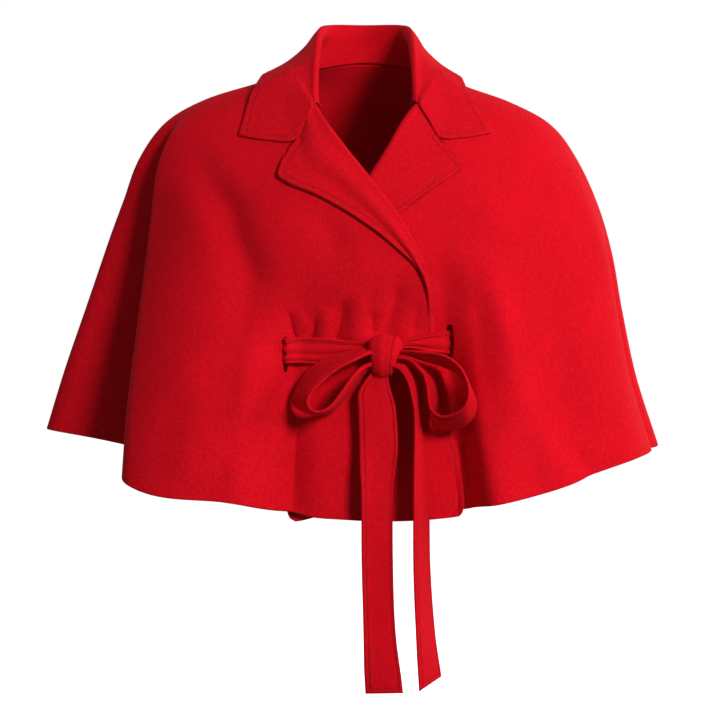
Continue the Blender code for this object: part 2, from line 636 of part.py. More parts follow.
def collar_section(turn, level, lift, roll):
    """One section across the collar: up the stand, over the roll and down the fall."""
    seam = raised(turn, 0.0, 0.0)
    below = raised(turn, 0.02, 0.0)
    up = (seam - below) / np.linalg.norm(seam - below)
    foot = seam + up * (0.5 * CLOTH + 2 * SEAM_GAP)
    leaf = raised(turn, level, lift)
    out = leaf - roll
    out[2] = 0.0
    out /= np.linalg.norm(out)
    inner = roll - out * COLLAR_ROLL
    inner[2] -= COLLAR_ROLL
    outer = roll + out * COLLAR_ROLL
    outer[2] -= COLLAR_ROLL
    fall = leaf - outer
    proud = np.array([out[0] * 0.6, out[1] * 0.6, 0.8]) * COLLAR_BULGE
    return [
        foot,
        0.5 * (foot + inner),
        inner,
        roll.copy(),
        outer,
        outer + 0.33 * fall + 1.3 * proud,
        outer + 0.62 * fall + 1.2 * proud,
        outer + 0.86 * fall + 0.5 * proud,
        leaf,
    ]


def collar_end(side):
    """The collar's front end, lying on the front beside the lapel."""
    layer, edge, ends = (over_front, OVER_EDGE, "left") if side < 0 else (under_front, UNDER_EDGE, "right")
    rows = np.array([row for row in COLLAR_ENDS[ends].values()])
    corner_x, corner_z = edge["neck corner"]
    corner = on_layer(layer, corner_x, corner_z, 0.0)
    points = on_layer(layer, rows[:, 0], np.minimum(rows[:, 1], corner_z), np.full(len(rows), LAPEL_LIFT))
    free = len(COLLAR_END_DEPTHS)
    points[:free, 0] = rows[:free, 0]
    points[:free, 1] = corner[1] + np.array(COLLAR_END_DEPTHS)
    points[:free, 2] = rows[:free, 1]
    return points


def keep_off(points, layer, lift):
    """Points moved out along a layer's normal wherever they lie closer to it than lift."""
    for _ in range(CLEAR_ROUNDS):
        turn, level = find(layer, points[..., 0], points[..., 2])
        base = layer(turn, level)
        normal = layer(turn, level, 1.0) - base
        height = np.sum((points - base) * normal, axis=-1)
        short = np.where(level > 2 * STEP, np.maximum(lift - height, 0.0), 0.0)
        points = points + normal * short[..., None]
    return points


def collar(home):
    """The collar: one folded piece with its stand inside and its fall outside."""
    stations = []
    for side, order in ((-1.0, 1), (1.0, -1)):
        rows = list(COLLAR.values())
        if side > 0:
            rows = rows[:-1]
        half = [collar_end(side)]
        for turn, level, lift, roll_x, roll_y, roll_z in rows:
            around = side * math.radians(turn)
            roll = np.array([side * roll_x, roll_y, roll_z])
            half.append(collar_section(np.array(around), np.array(level), lift, roll))
        stations.extend(half[::order])
    stations = np.array(stations)
    count = len(stations)
    at = np.linspace(0, count - 1, (count - 1) * COLLAR_STEPS + 1)
    points = smooth_through(np.arange(count), stations, at)
    ends = COLLAR_STEPS + COLLAR_STEPS // 2
    lifts = LAPEL_LIFT + np.array(FALL_RISE)
    points[:ends, FALL_FROM:] = keep_off(points[:ends, FALL_FROM:], over_front, lifts)
    points[-ends:, FALL_FROM:] = keep_off(points[-ends:, FALL_FROM:], under_front, lifts)
    return cloth("collar", points, LAPEL, home, RED_FOLDED)


def apron(x, z, lift):
    """Points before the belted part of the front, carried on evenly to both sides."""
    heights = column(RINGS, RING_COLUMNS, "z_front")
    place = np.linspace(0.0, 1.0, len(heights))
    level = smooth_through(-heights, place, -np.maximum(z, HANG_FROM))
    side = x / ring_value("right", level)
    depth = ring_value("centre", level) * np.sqrt(1.0 - side ** 2)
    return np.stack([x, -(depth + OVERLAP_LIFT + lift), z], axis=-1)


def read_run(table):
    """A belt table's columns, read smoothly between its rows."""
    rows = np.array([row for row in table.values()])
    count = len(rows)
    at = np.linspace(0, count - 1, (count - 1) * RUN_STEPS + 1)
    return smooth_through(np.arange(count), rows, at).T


def flat_run(table, lying):
    """Rows of points of a belt run that lies on the front or hangs before it."""
    x, z, lift, across_x, across_y, across_z, width = read_run(table)
    line = on_layer(over_front, x, z, lift) if lying else apron(x, z, lift)
    across = np.stack([across_x, across_y, across_z], axis=-1)
    across /= np.linalg.norm(across, axis=-1, keepdims=True)
    share = np.linspace(-0.5, 0.5, BAND_COLUMNS)
    return line[:, None] + across[:, None] * (width[:, None] * share)[..., None]


def loop_run(table):
    """Rows of points of a loop, from its edge nearest the viewer to its far edge."""
    x, z, lift, shift_x, shift_z, width = read_run(table)
    far = apron(x + shift_x, z + shift_z, lift)
    deep = np.sqrt(width ** 2 - shift_x ** 2 - shift_z ** 2)
    near = np.stack([x, far[:, 1] - deep, z], axis=-1)
    share = np.linspace(0.0, 1.0, BAND_COLUMNS)[None, :, None]
    return near[:, None] + (far - near)[:, None] * share


def belt_run(name, points, home):
    """A run of belt as a strip of cloth through rows of points."""
    return cloth(name, points, BELT, home, RED_BELT)


def belt_inner(bands, home):
    """The belt's hidden run: on from the ends of both bands, inside round the waist."""
    ends = []
    for band in bands:
        way = band[-1] - band[-2]
        way /= np.linalg.norm(way, axis=-1, keepdims=True)
        ends.append(band[-1] + way * SEAM_GAP)
    turn = np.radians(WAIST_TURNS)
    ahead = np.cos(turn)
    x = WAIST_HALF_WIDTH * np.sin(turn)
    y = -np.where(ahead > 0, WAIST_FRONT, WAIST_BACK) * ahead
    z_ends = [end[:, 2].mean() for end in ends]
    z = np.linspace(z_ends[0], z_ends[1], len(turn))
    line = np.stack([x, y, z], axis=-1)
    share = np.linspace(-0.5, 0.5, BAND_COLUMNS) * WAIST_WIDTH
    waist = line[:, None] + share[:, None] * np.array([0.0, 0.0, 1.0])
    rows = np.concatenate([[ends[0]], waist, [ends[1]]])
    reach = np.linalg.norm(np.diff(rows.mean(axis=1), axis=0), axis=1)
    knots = np.concatenate(([0.0], np.cumsum(reach)))
    at = np.linspace(0.0, knots[-1], WAIST_STEPS)
    return cloth("belt_inner", smooth_through(knots, rows, at), BELT, home, RED_BELT)


def knot_body(name, grow, home, colour):
    """The knot as a rounded lump, narrower below, grown by a margin for its cutter."""
    place = on_layer(over_front, KNOT["x"], KNOT["z"], KNOT_LIFT)
    shape = bmesh.new()
    bmesh.ops.create_uvsphere(shape, u_segments=16, v_segments=10, radius=1.0)
    for point in shape.verts:
        narrow = 1.0 + 0.16 * point.co.z
        point.co.x *= narrow * (KNOT["half_width"] + grow)
        point.co.y *= narrow * (KNOT["half_depth"] + grow)
        point.co.z *= KNOT["half_height"] + grow
    bmesh.ops.translate(shape, vec=place.tolist(), verts=shape.verts)
    mesh = bpy.data.meshes.new(name)
    shape.to_mesh(mesh)
    shape.free()
    return add_object(name, mesh, home, colour)


def clear_scene():
    """Remove whatever the scene holds."""
    for old in list(bpy.data.objects):
        bpy.data.objects.remove(old, do_unlink=True)


def main():
    """Build every piece."""
    clear_scene()
    home = collection(OBJECT)
    cutters = collection("cutters")
    front_panel("front_right", over_front, OVER_EDGE, SEAM_TURN["left"], "left", home, cutters)
    front_panel("front_left", under_front, UNDER_EDGE, SEAM_TURN["right"], "right", home, cutters)
    back_panel(home)
    lapel("lapel_right", over_front, OVER_EDGE, OVER_LAPEL, LAPEL_TOPS["over"], ROLL_LIFT, home)
    lapel("lapel_left", under_front, UNDER_EDGE, UNDER_LAPEL, LAPEL_TOPS["under"], 0.0, home)
    collar(home)
    knot_body("belt_knot", 0.0, home, RED_BELT)
    margin = knot_body("knot margin", SEAM_GAP, cutters, None)
    hide(margin)
    runs = {
        "belt_band_right": flat_run(BAND_LEFT, True),
        "belt_band_left": flat_run(BAND_RIGHT, True),
        "belt_loop_right": loop_run(LOOP_LEFT),
        "belt_loop_left": loop_run(LOOP_RIGHT),
        "belt_tail_right": flat_run(TAIL_LEFT, False),
        "belt_tail_left": flat_run(TAIL_RIGHT, False),
    }
    for name, points in runs.items():
        cut(belt_run(name, points, home), margin)
    belt_inner((runs["belt_band_right"], runs["belt_band_left"]), home)


main()
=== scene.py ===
"""Short red wool cape with a notched coat collar and a self-cloth belt tied in a bow.

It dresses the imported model, piece for piece, in metres. +Z is up, the front faces -Y, and
+X is the viewer's right. "right" and "left" in a piece's name are the wearer's own sides,
so the right front is at -X. The cape is one formula, CapeForm.sheet(turn, level): turn goes
round the wearer in radians from 0 at the front, level goes down the cloth from 0 at the
neck seam to 1 at the hem. Every piece reads its points from it.
"""
import copy
import logging
import math
from collections.abc import Callable
from dataclasses import dataclass, replace
from enum import Enum

import bpy
import numpy as np
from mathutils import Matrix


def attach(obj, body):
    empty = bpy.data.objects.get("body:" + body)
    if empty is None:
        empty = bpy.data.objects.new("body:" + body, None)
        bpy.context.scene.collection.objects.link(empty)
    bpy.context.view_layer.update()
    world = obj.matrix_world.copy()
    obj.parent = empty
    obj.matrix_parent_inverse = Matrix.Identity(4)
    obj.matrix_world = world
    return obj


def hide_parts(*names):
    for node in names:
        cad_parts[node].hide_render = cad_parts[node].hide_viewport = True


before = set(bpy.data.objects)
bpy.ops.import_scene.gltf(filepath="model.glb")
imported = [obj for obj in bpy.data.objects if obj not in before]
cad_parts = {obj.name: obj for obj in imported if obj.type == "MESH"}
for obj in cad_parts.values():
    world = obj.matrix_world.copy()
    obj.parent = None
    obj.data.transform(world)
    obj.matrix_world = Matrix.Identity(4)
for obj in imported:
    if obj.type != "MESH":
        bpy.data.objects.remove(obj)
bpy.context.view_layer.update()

Array = np.ndarray
Layer = Callable[..., Array]
Path = tuple[tuple[float, float], ...]
Table = tuple[tuple[float, ...], ...]
Colour = tuple[float, float, float, float]
log = logging.getLogger("cape")

# Cloth thicknesses and the heights of the layers in the front overlap
CLOTH = 0.0022
FOLDED = 0.0028
BELT = 0.0026
SEAM_GAP = 0.0004
LAYER_GAP = 0.0008
FOLDED_LIFT = 0.5 * CLOTH + LAYER_GAP + 0.5 * FOLDED
OVERLAP_LIFT = 2.0 * FOLDED_LIFT

# Side seams: their turns at the shoulder, and how far, from which level and over what they swing back
SEAM_LEFT = math.radians(-84.0)
SEAM_RIGHT = math.radians(86.0)
SEAM_SWING = math.radians(9.0)
SWING_FROM = 0.35
SWING_OVER = 0.45

# How far inside an edge its topstitching runs
FRONT_SETBACK = 0.0068
FOLDED_SETBACK = 0.0062
BELT_SETBACK = 0.0046

# Newton's method on the sheet
STEP = 1e-4
SOLVE_ROUNDS = 12
TURN_STEP = 0.12
LEVEL_STEP = 0.05
TURN_LIMIT = 1.6

# Where no edge is stitched near, the distance that the groove's mask reads
FAR = 1.0

WHITE = (1.0, 1.0, 1.0, 1.0)

# The wool's light and dark tones on the panels, and on the folded pieces and the belt
PANEL_LIGHT = (0.70, 0.0016, 0.0110, 1.0)
PANEL_DARK = (0.50, 0.0010, 0.0070, 1.0)
FOLD_LIGHT = (0.68, 0.0016, 0.0105, 1.0)
FOLD_DARK = (0.48, 0.0010, 0.0070, 1.0)

# Steps of the half circle round a wall's rim
RIM_STEPS = 5

# Sockets of a colour mix node
MIX_SHARE = 0
MIX_FIRST = 6
MIX_SECOND = 7
MIX_RESULT = 2


class Side(Enum):
    """The viewer's side of a piece, as the sign of its X."""

    LEFT = -1
    RIGHT = 1


class Slot(Enum):
    """The record's material slots."""

    WOOL = "wool"
    FOLDED = "wool_folded"
    BELT = "wool_belt"


def smooth_through(knots: Array, values: Array, at: Array) -> Array:
    """Cubic curve through points, each slope taken from the neighbouring points.

    Args:
        knots: rising places of the points.
        values: value or row of values at each knot.
        at: places to read.

    Returns:
        The values there: the two end values and slopes of each span, blended by its cubics.
    """
    knots = np.asarray(knots, dtype=float)
    values = np.asarray(values, dtype=float)
    at = np.clip(at, knots[0], knots[-1])
    slopes = np.gradient(values, knots, axis=0)
    first = np.clip(np.searchsorted(knots, at, side="right") - 1, 0, len(knots) - 2)
    span = knots[first + 1] - knots[first]
    part = (at - knots[first]) / span
    for _ in range(values.ndim - 1):
        part = part[..., None]
        span = span[..., None]
    here = (1 + 2 * part) * (1 - part) ** 2 * values[first]
    here_slope = part * (1 - part) ** 2 * span * slopes[first]
    there = part ** 2 * (3 - 2 * part) * values[first + 1]
    there_slope = part ** 2 * (part - 1) * span * slopes[first + 1]
    return here + here_slope + there + there_slope


def ease(value: Array) -> Array:
    """Smooth step from 0 to 1: three times the square less twice the cube."""
    part = np.clip(value, 0.0, 1.0)
    return part * part * (3 - 2 * part)


def wrapped(turn: Array) -> Array:
    """A turn brought between minus and plus half a circle."""
    return (turn + math.pi) % (2 * math.pi) - math.pi


def unit(vectors: Array) -> Array:
    """Vectors brought to length 1."""
    return vectors / np.maximum(np.linalg.norm(vectors, axis=-1, keepdims=True), 1e-12)


def reach_along(points: Array) -> Array:
    """Length along a line of points up to each of them."""
    return np.concatenate(([0.0], np.cumsum(np.linalg.norm(np.diff(points, axis=0), axis=1))))


def read_line(at: Array, knots: Array, line: Array) -> Array:
    """Points or directions along a line, straight between its own ones."""
    return np.stack([np.interp(at, knots, line[:, axis]) for axis in range(3)], axis=-1)


def spread(rows: Path | Array, count: int) -> Array:
    """A table's rows read at even steps of the length of its first two columns, smoothly."""
    table = np.array(rows, dtype=float)
    knots = reach_along(table[:, :2])
    return smooth_through(knots, table, np.linspace(0.0, knots[-1], count))


def grid_normals(points: Array) -> Array:
    """Normals of a grid of points: its slope down the rows crossed with that along them."""
    return unit(np.cross(np.gradient(points, axis=0), np.gradient(points, axis=1)))


@dataclass(frozen=True)
class Ring:
    """One level of the cape: half widths, depths and heights."""

    left: float
    right: float
    front: float
    centre: float
    back: float
    z_front: float
    z_left: float
    z_right: float
    z_back: float


@dataclass(frozen=True)
class Fold:
    """A fold that falls from the shoulders: place and half width in degrees, shifts at the hem.

    narrow is the share of its width that it lacks where it starts, and swing is how much
    farther round it lies there.
    """

    turn: float
    half_width: float
    out: float
    along: float
    drop: float
    start: float
    narrow: float = 0.0
    swing: float = 0.0


@dataclass(frozen=True)
class Crease:
    """A soft trough, or a ridge where depth is negative, along a path on the cloth.

    A front crease's path is x, z in the front view, another's is turn in degrees and level.
    start and end are the shares of the depth at the path's two ends, and lean makes one
    side steeper.
    """

    path: Path
    depth: float
    width: float
    start: float = 0.0
    end: float = 0.0
    lean: float = 0.0


RINGS = (
    Ring(0.080, 0.080, 0.106, 0.106, 0.064, -0.048, 0.030, 0.030, 0.046),
    Ring(0.124, 0.114, 0.112, 0.112, 0.088, -0.072, 0.017, 0.014, 0.018),
    Ring(0.181, 0.164, 0.121, 0.121, 0.107, -0.100, -0.001, -0.004, -0.018),
    Ring(0.225, 0.209, 0.131, 0.131, 0.125, -0.133, -0.027, -0.029, -0.063),
    Ring(0.251, 0.238, 0.139, 0.138, 0.139, -0.170, -0.067, -0.067, -0.112),
    Ring(0.266, 0.262, 0.144, 0.138, 0.150, -0.210, -0.119, -0.119, -0.165),
    Ring(0.283, 0.278, 0.150, 0.130, 0.160, -0.252, -0.174, -0.174, -0.222),
    Ring(0.303, 0.289, 0.160, 0.121, 0.172, -0.302, -0.236, -0.236, -0.285),
    Ring(0.326, 0.305, 0.178, 0.130, 0.186, -0.378, -0.305, -0.312, -0.355),
    Ring(0.346, 0.330, 0.196, 0.146, 0.202, -0.464, -0.3715, -0.390, -0.428),
)

FOLDS = (
    Fold(-43.0, 20.0, 0.024, 0.006, -0.014, 0.20),
    Fold(-68.0, 22.0, -0.100, 0.028, -0.018, 0.25, 0.72, -11.0),
    Fold(-93.0, 20.0, 0.010, 0.000, 0.000, 0.35),
    Fold(-117.0, 17.0, -0.024, 0.000, 0.000, 0.40),
    Fold(-140.0, 18.0, 0.024, 0.000, 0.000, 0.35),
    Fold(-163.0, 16.0, -0.018, 0.000, 0.000, 0.45),
    Fold(176.0, 17.0, 0.012, 0.000, 0.000, 0.45),
    Fold(153.0, 16.0, -0.020, 0.000, 0.000, 0.40),
    Fold(131.0, 17.0, 0.022, 0.000, 0.000, 0.35),
    Fold(109.0, 16.0, -0.018, 0.000, 0.000, 0.45),
    Fold(56.0, 24.0, 0.010, 0.000, 0.004, 0.45),
    Fold(26.0, 9.0, 0.014, -0.006, 0.000, 0.72),
)

# Gathers over the belt, pulls round the slits and soft folds of the two fronts
FRONT_CREASES = {
    "gather beside slit": Crease(((-0.086, -0.236), (-0.079, -0.264)), 0.0046, 0.0060, 0.0, 1.0, 0.2),
    "gather 2": Crease(((-0.051, -0.240), (-0.056, -0.268)), 0.0050, 0.0066, 0.0, 1.0, -0.2),
    "gather 3": Crease(((-0.020, -0.222), (-0.026, -0.246), (-0.031, -0.267)), 0.0062, 0.0085, 0.0, 1.0, 0.2),
    "gather 4": Crease(((0.010, -0.236), (0.006, -0.261)), 0.0040, 0.0066, 0.0, 1.0),
    "gather over knot": Crease(
        ((0.038, -0.196), (0.032, -0.229), (0.022, -0.261)), 0.0058, 0.0110, 0.0, 0.8, 0.2
    ),
    "gather at edge": Crease(((0.060, -0.226), (0.052, -0.256)), 0.0036, 0.0080, 0.0, 1.0),
    "puff 1": Crease(((-0.070, -0.236), (-0.070, -0.267)), -0.0022, 0.0070, 0.0, 1.0),
    "puff 2": Crease(((-0.042, -0.232), (-0.044, -0.268)), -0.0026, 0.0070, 0.0, 1.0),
    "puff 3": Crease(((-0.005, -0.213), (-0.011, -0.264)), -0.0030, 0.0085, 0.0, 1.0),
    "chest left": Crease(
        ((-0.189, -0.061), (-0.151, -0.132), (-0.124, -0.207), (-0.124, -0.261)), 0.0105, 0.028, 0.2, 0.5
    ),
    "chest middle": Crease(((-0.049, -0.121), (-0.032, -0.169), (-0.049, -0.207)), 0.0034, 0.021),
    "flute face": Crease(((-0.189, -0.272), (-0.195, -0.391)), -0.0045, 0.030, 0.2, 0.8),
    "slit down 1": Crease(
        ((-0.081, -0.305), (-0.114, -0.359), (-0.151, -0.413)), 0.0105, 0.0130, 0.6, 0.3, 0.2
    ),
    "slit down 2": Crease(((-0.072, -0.340), (-0.080, -0.386), (-0.080, -0.445)), 0.0085, 0.0150, 0.1, 1.0),
    "between them": Crease(((-0.081, -0.337), (-0.108, -0.413)), -0.0045, 0.0120, 0.3, 0.5),
    "beside tail": Crease(((-0.049, -0.359), (-0.051, -0.445)), -0.0040, 0.0140, 0.0, 0.8),
    "left low": Crease(((-0.189, -0.305), (-0.216, -0.413)), 0.0035, 0.020, 0.0, 0.7),
    "pull round right slit": Crease(
        ((0.081, -0.207), (0.108, -0.221), (0.122, -0.245), (0.120, -0.305), (0.124, -0.386),
         (0.124, -0.445)),
        0.0100, 0.0200, 0.2, 0.5, 0.2,
    ),
    "right flute": Crease(
        ((0.128, -0.190), (0.145, -0.250), (0.158, -0.310), (0.176, -0.370), (0.222, -0.424)),
        -0.0135, 0.022, 0.3, 0.4, -0.2,
    ),
    "right valley": Crease(((0.205, -0.200), (0.218, -0.340), (0.252, -0.413)), 0.0090, 0.034, 0.1, 0.7),
    "right hem long": Crease(
        ((0.189, -0.359), (0.222, -0.397), (0.249, -0.421)), 0.0030, 0.0080, 0.0, 0.5, 0.3
    ),
    "right hem short": Crease(((0.227, -0.391), (0.249, -0.407)), 0.0024, 0.0060, 0.0, 0.4),
    "right shoulder": Crease(((0.168, -0.045), (0.189, -0.105), (0.222, -0.159)), 0.0035, 0.024),
    "right side": Crease(((0.211, -0.056), (0.270, -0.207), (0.297, -0.359)), -0.0035, 0.030, 0.0, 0.6),
    "behind over edge": Crease(((0.104, -0.345), (0.115, -0.400), (0.125, -0.455)), 0.0140, 0.0100, 0.0, 1.0),
    "right chest": Crease(((0.135, -0.088), (0.124, -0.175)), -0.0045, 0.038),
}

# Soft folds of the sides and the back, which the photograph doesn't show
HIDDEN_CREASES = {
    "left flare 1": Crease(((-84.0, 0.30), (-88.0, 0.62), (-86.0, 1.0)), -0.0068, 0.020, 0.0, 0.9),
    "left flare 2": Crease(((-100.0, 0.45), (-103.0, 1.0)), 0.0085, 0.015, 0.0, 1.0, 0.3),
    "left back 1": Crease(((-112.0, 0.22), (-122.0, 0.55), (-124.0, 1.0)), 0.0102, 0.022, 0.0, 0.8, -0.3),
    "left back 2": Crease(((-133.0, 0.40), (-137.0, 1.0)), -0.0076, 0.016, 0.0, 1.0),
    "left back 3": Crease(((-146.0, 0.16), (-151.0, 0.50), (-150.0, 0.92)), 0.0076, 0.018, 0.0, 0.5, 0.3),
    "back 1": Crease(((-168.0, 0.30), (-171.0, 0.70), (-169.0, 1.0)), 0.0093, 0.020, 0.0, 0.7),
    "back 2": Crease(((176.0, 0.12), (179.0, 0.42)), 0.0051, 0.020),
    "back 3": Crease(((170.0, 0.52), (166.0, 1.0)), -0.0076, 0.018, 0.0, 0.9, 0.3),
    "right back 1": Crease(((158.0, 0.18), (154.0, 0.60), (156.0, 1.0)), 0.0102, 0.019, 0.0, 0.9, -0.3),
    "right back 2": Crease(((139.0, 0.34), (136.0, 0.84)), -0.0068, 0.020, 0.0, 0.4),
    "right back 3": Crease(((120.0, 0.25), (117.0, 0.64), (119.0, 1.0)), 0.0093, 0.021, 0.0, 0.8, 0.3),
    "right flare 1": Crease(((99.0, 0.50), (101.0, 1.0)), -0.0076, 0.017, 0.0, 1.0),
    "right flare 2": Crease(((80.0, 0.55), (78.0, 1.0)), 0.0068, 0.015, 0.0, 0.8),
    "blade left": Crease(((-150.0, 0.06), (-132.0, 0.20)), 0.0043, 0.018),
    "blade right": Crease(((150.0, 0.06), (128.0, 0.22)), 0.0043, 0.018),
}


@dataclass
class CapeForm:
    """The shape of the cape as worn, and the layers that lie on it."""

    overlap_from: float = math.radians(-46.0)
    overlap_full: float = math.radians(-21.0)
    pull_left: tuple[float, float] = (13.0, 26.0)
    pull_right: tuple[float, float] = (17.5, 25.0)
    over_drop: float = 0.008
    under_drop: float = 0.010
    over_corner: tuple[float, float] = (-30.0, 20.0)
    under_corner: tuple[float, float] = (-7.0, -14.0)
    corner_power: int = 6
    fold_growth: float = 1.25
    crease_round: float = 0.27
    crease_down: float = 0.52
    map_turns: int = 1440
    map_levels: int = 420
    map_beyond: float = 0.05
    pressed: Array | None = None

    def __post_init__(self) -> None:
        """Read the ring table into columns and place the creases on the bare sheet."""
        names = Ring.__dataclass_fields__
        self.columns = {name: np.array([getattr(ring, name) for ring in RINGS]) for name in names}
        self.creases = list(HIDDEN_CREASES.values())
        for crease in FRONT_CREASES.values():
            x, z = np.array(crease.path).T
            turn, level = self.find(self.under_front, x, z)
            self.creases.append(replace(crease, path=tuple(zip(np.degrees(turn), level))))
        turn = np.linspace(-math.pi, math.pi, self.map_turns, endpoint=False)
        level = np.linspace(-self.map_beyond, 1.0 + self.map_beyond, self.map_levels)
        self.pressed = self.crease_depth(turn[:, None], level[None, :])

    def ring(self, name: str, level: Array) -> Array:
        """One column of the ring table at any level."""
        values = self.columns[name]
        return smooth_through(np.linspace(0.0, 1.0, len(values)), values, level)

    def belt_pull(self, turn: Array) -> Array:
        """1 where the belt holds the front in, 0 where the cloth is loose."""
        degrees = np.degrees(wrapped(turn))
        left = ease((-degrees - self.pull_left[0]) / (self.pull_left[1] - self.pull_left[0]))
        right = ease((degrees - self.pull_right[0]) / (self.pull_right[1] - self.pull_right[0]))
        return (1 - left) * (1 - right)

    def crease_depth(self, turn: Array, level: Array) -> Array:
        """How far the creases press the cloth in, by the distance from each one's path.

        Across a crease the depth is a bell, exp(-(distance / width) squared). Along it the
        depth goes from its start share over 1 in the middle to its end share.
        """
        total = np.zeros(np.broadcast(turn, level).shape)
        down = np.broadcast_to(level, total.shape) * self.crease_down
        for crease in self.creases:
            turns, levels = np.array(crease.path).T
            home = math.radians(turns[0])
            around = wrapped(turn - home) * self.crease_round
            knot_around = wrapped(np.radians(turns) - home) * self.crease_round
            knot_down = levels * self.crease_down
            spans = np.hypot(np.diff(knot_around), np.diff(knot_down))
            nearest = np.full(total.shape, np.inf)
            share = np.zeros(total.shape)
            side = np.zeros(total.shape)
            gone = 0.0
            for one, span in enumerate(spans):
                way_around = (knot_around[one + 1] - knot_around[one]) / span
                way_down = (knot_down[one + 1] - knot_down[one]) / span
                from_around = around - knot_around[one]
                from_down = down - knot_down[one]
                place = np.clip(from_around * way_around + from_down * way_down, 0.0, span)
                off = np.hypot(from_around - place * way_around, from_down - place * way_down)
                closer = off < nearest
                nearest = np.where(closer, off, nearest)
                share = np.where(closer, (gone + place) / spans.sum(), share)
                side = np.where(closer, from_around * way_down - from_down * way_around, side)
                gone += span
            wide = crease.width * (1 + crease.lean * np.tanh(side / crease.width))
            strength = np.interp(share, (0.0, 0.5, 1.0), (crease.start, 1.0, crease.end))
            total += crease.depth * ease(strength) * np.exp(-((nearest / wide) ** 2))
        return total

    def pressed_at(self, turn: Array, level: Array) -> Array:
        """The creases' depth, read from its map by the cubic through four points each way."""
        at_turn = (np.asarray(turn, dtype=float) + math.pi) / (2 * math.pi) * self.map_turns
        top, beyond = self.map_levels - 1, self.map_beyond
        at_level = (np.asarray(level, dtype=float) + beyond) / (1.0 + 2 * beyond) * top
        at_level = np.clip(at_level, 1.0, top - 2.0)
        first_turn = np.floor(at_turn).astype(int)
        first_level = np.floor(at_level).astype(int)
        weights = []
        for part in (at_turn - first_turn, at_level - first_level):
            weights.append((
                0.5 * part * (part * (2.0 - part) - 1.0),
                0.5 * (part * part * (3.0 * part - 5.0) + 2.0),
                0.5 * part * (part * (4.0 - 3.0 * part) + 1.0),
                0.5 * part * part * (part - 1.0),
            ))
        total = 0.0
        for step_turn in range(4):
            column = (first_turn + step_turn - 1) % self.map_turns
            for step_level in range(4):
                value = self.pressed[column, first_level + step_level - 1]
                total = total + weights[0][step_turn] * weights[1][step_level] * value
        return total

    def sheet(self, turn: Array, level: Array) -> Array:
        """Points of the bare cape: an ellipse at each level, tilted, with folds and creases.

        x is the half width times the sine of turn, y minus the depth times its cosine, and z
        goes from the sides' height to the front's or back's by the cosine squared. Each fold
        and crease then moves the cloth along the ellipse's normal.
        """
        side = np.sin(turn)
        ahead = np.cos(turn)
        left = self.ring("left", level)
        right = self.ring("right", level)
        width = 0.5 * (right + left) + 0.5 * (right - left) * side
        loose = self.ring("front", level)
        front = loose + (self.ring("centre", level) - loose) * self.belt_pull(turn)
        depth = np.where(ahead > 0, front, self.ring("back", level))
        z_left = self.ring("z_left", level)
        z_right = self.ring("z_right", level)
        z_side = 0.5 * (z_right + z_left) + 0.5 * (z_right - z_left) * side
        z_end = np.where(ahead > 0, self.ring("z_front", level), self.ring("z_back", level))
        x = width * side
        y = -depth * ahead
        z = z_side + (z_end - z_side) * ahead ** 2
        out_x = side / width
        out_y = -ahead / depth
        length = np.hypot(out_x, out_y)
        out_x = out_x / length
        out_y = out_y / length
        for fold in FOLDS:
            part = np.clip((level - fold.start) / (1 - fold.start), 0.0, 1.0)
            wide = fold.half_width * (1.0 - fold.narrow * (1.0 - part))
            home = np.radians(fold.turn + fold.swing * (1.0 - part))
            away = np.degrees(wrapped(turn - home)) / wide
            bell = np.where(np.abs(away) < 1, np.cos(0.5 * math.pi * np.clip(away, -1, 1)) ** 2, 0.0)
            amount = bell * part ** self.fold_growth
            x = x + amount * (fold.out * out_x - fold.along * out_y)
            y = y + amount * (fold.out * out_y + fold.along * out_x)
            z = z + amount * fold.drop
        if self.pressed is not None:
            pressed = self.pressed_at(turn, level)
            x = x - pressed * out_x
            y = y - pressed * out_y
        return np.stack([x, y, z], axis=-1)

    def raised(self, turn: Array, level: Array, lift: Array | float) -> Array:
        """Points of the sheet moved out along its own normal by lift."""
        turn, level = np.broadcast_arrays(np.asarray(turn, dtype=float), np.asarray(level, dtype=float))
        inner = np.clip(level, STEP, 1 - STEP)
        round_it = self.sheet(turn + STEP, inner) - self.sheet(turn - STEP, inner)
        down_it = self.sheet(turn, inner + STEP) - self.sheet(turn, inner - STEP)
        normal = unit(np.cross(down_it, round_it))
        lift = np.broadcast_to(lift, turn.shape)
        return self.sheet(turn, level) + normal * lift[..., None]

    def overlap(self, turn: Array) -> Array:
        """How far the front that laps over stands off the sheet."""
        share = (wrapped(turn) - self.overlap_from) / (self.overlap_full - self.overlap_from)
        return OVERLAP_LIFT * ease(share)

    def corner_share(self, turn: Array, level: Array, span: tuple[float, float]) -> Array:
        """Share of a front's extra length: it grows over a span of turns and with the level's power."""
        start, full = span
        across = ease((np.degrees(wrapped(turn)) - start) / (full - start))
        return across * np.clip(level, 0, 1) ** self.corner_power

    def over_front(self, turn: Array, level: Array, lift: Array | float = 0.0) -> Array:
        """Middle of the front that laps over, or of what lies on it, with its longer corner."""
        points = self.raised(turn, level, self.overlap(turn) + lift)
        longer = self.corner_share(turn, level, self.over_corner)
        points[..., 2] -= self.over_drop * longer
        return points

    def under_front(self, turn: Array, level: Array, lift: Array | float = 0.0) -> Array:
        """Middle of the front underneath, or of what lies on it, with its longer corner."""
        points = self.raised(turn, level, lift)
        longer = self.corner_share(turn, level, self.under_corner)
        points[..., 2] -= self.under_drop * longer
        return points

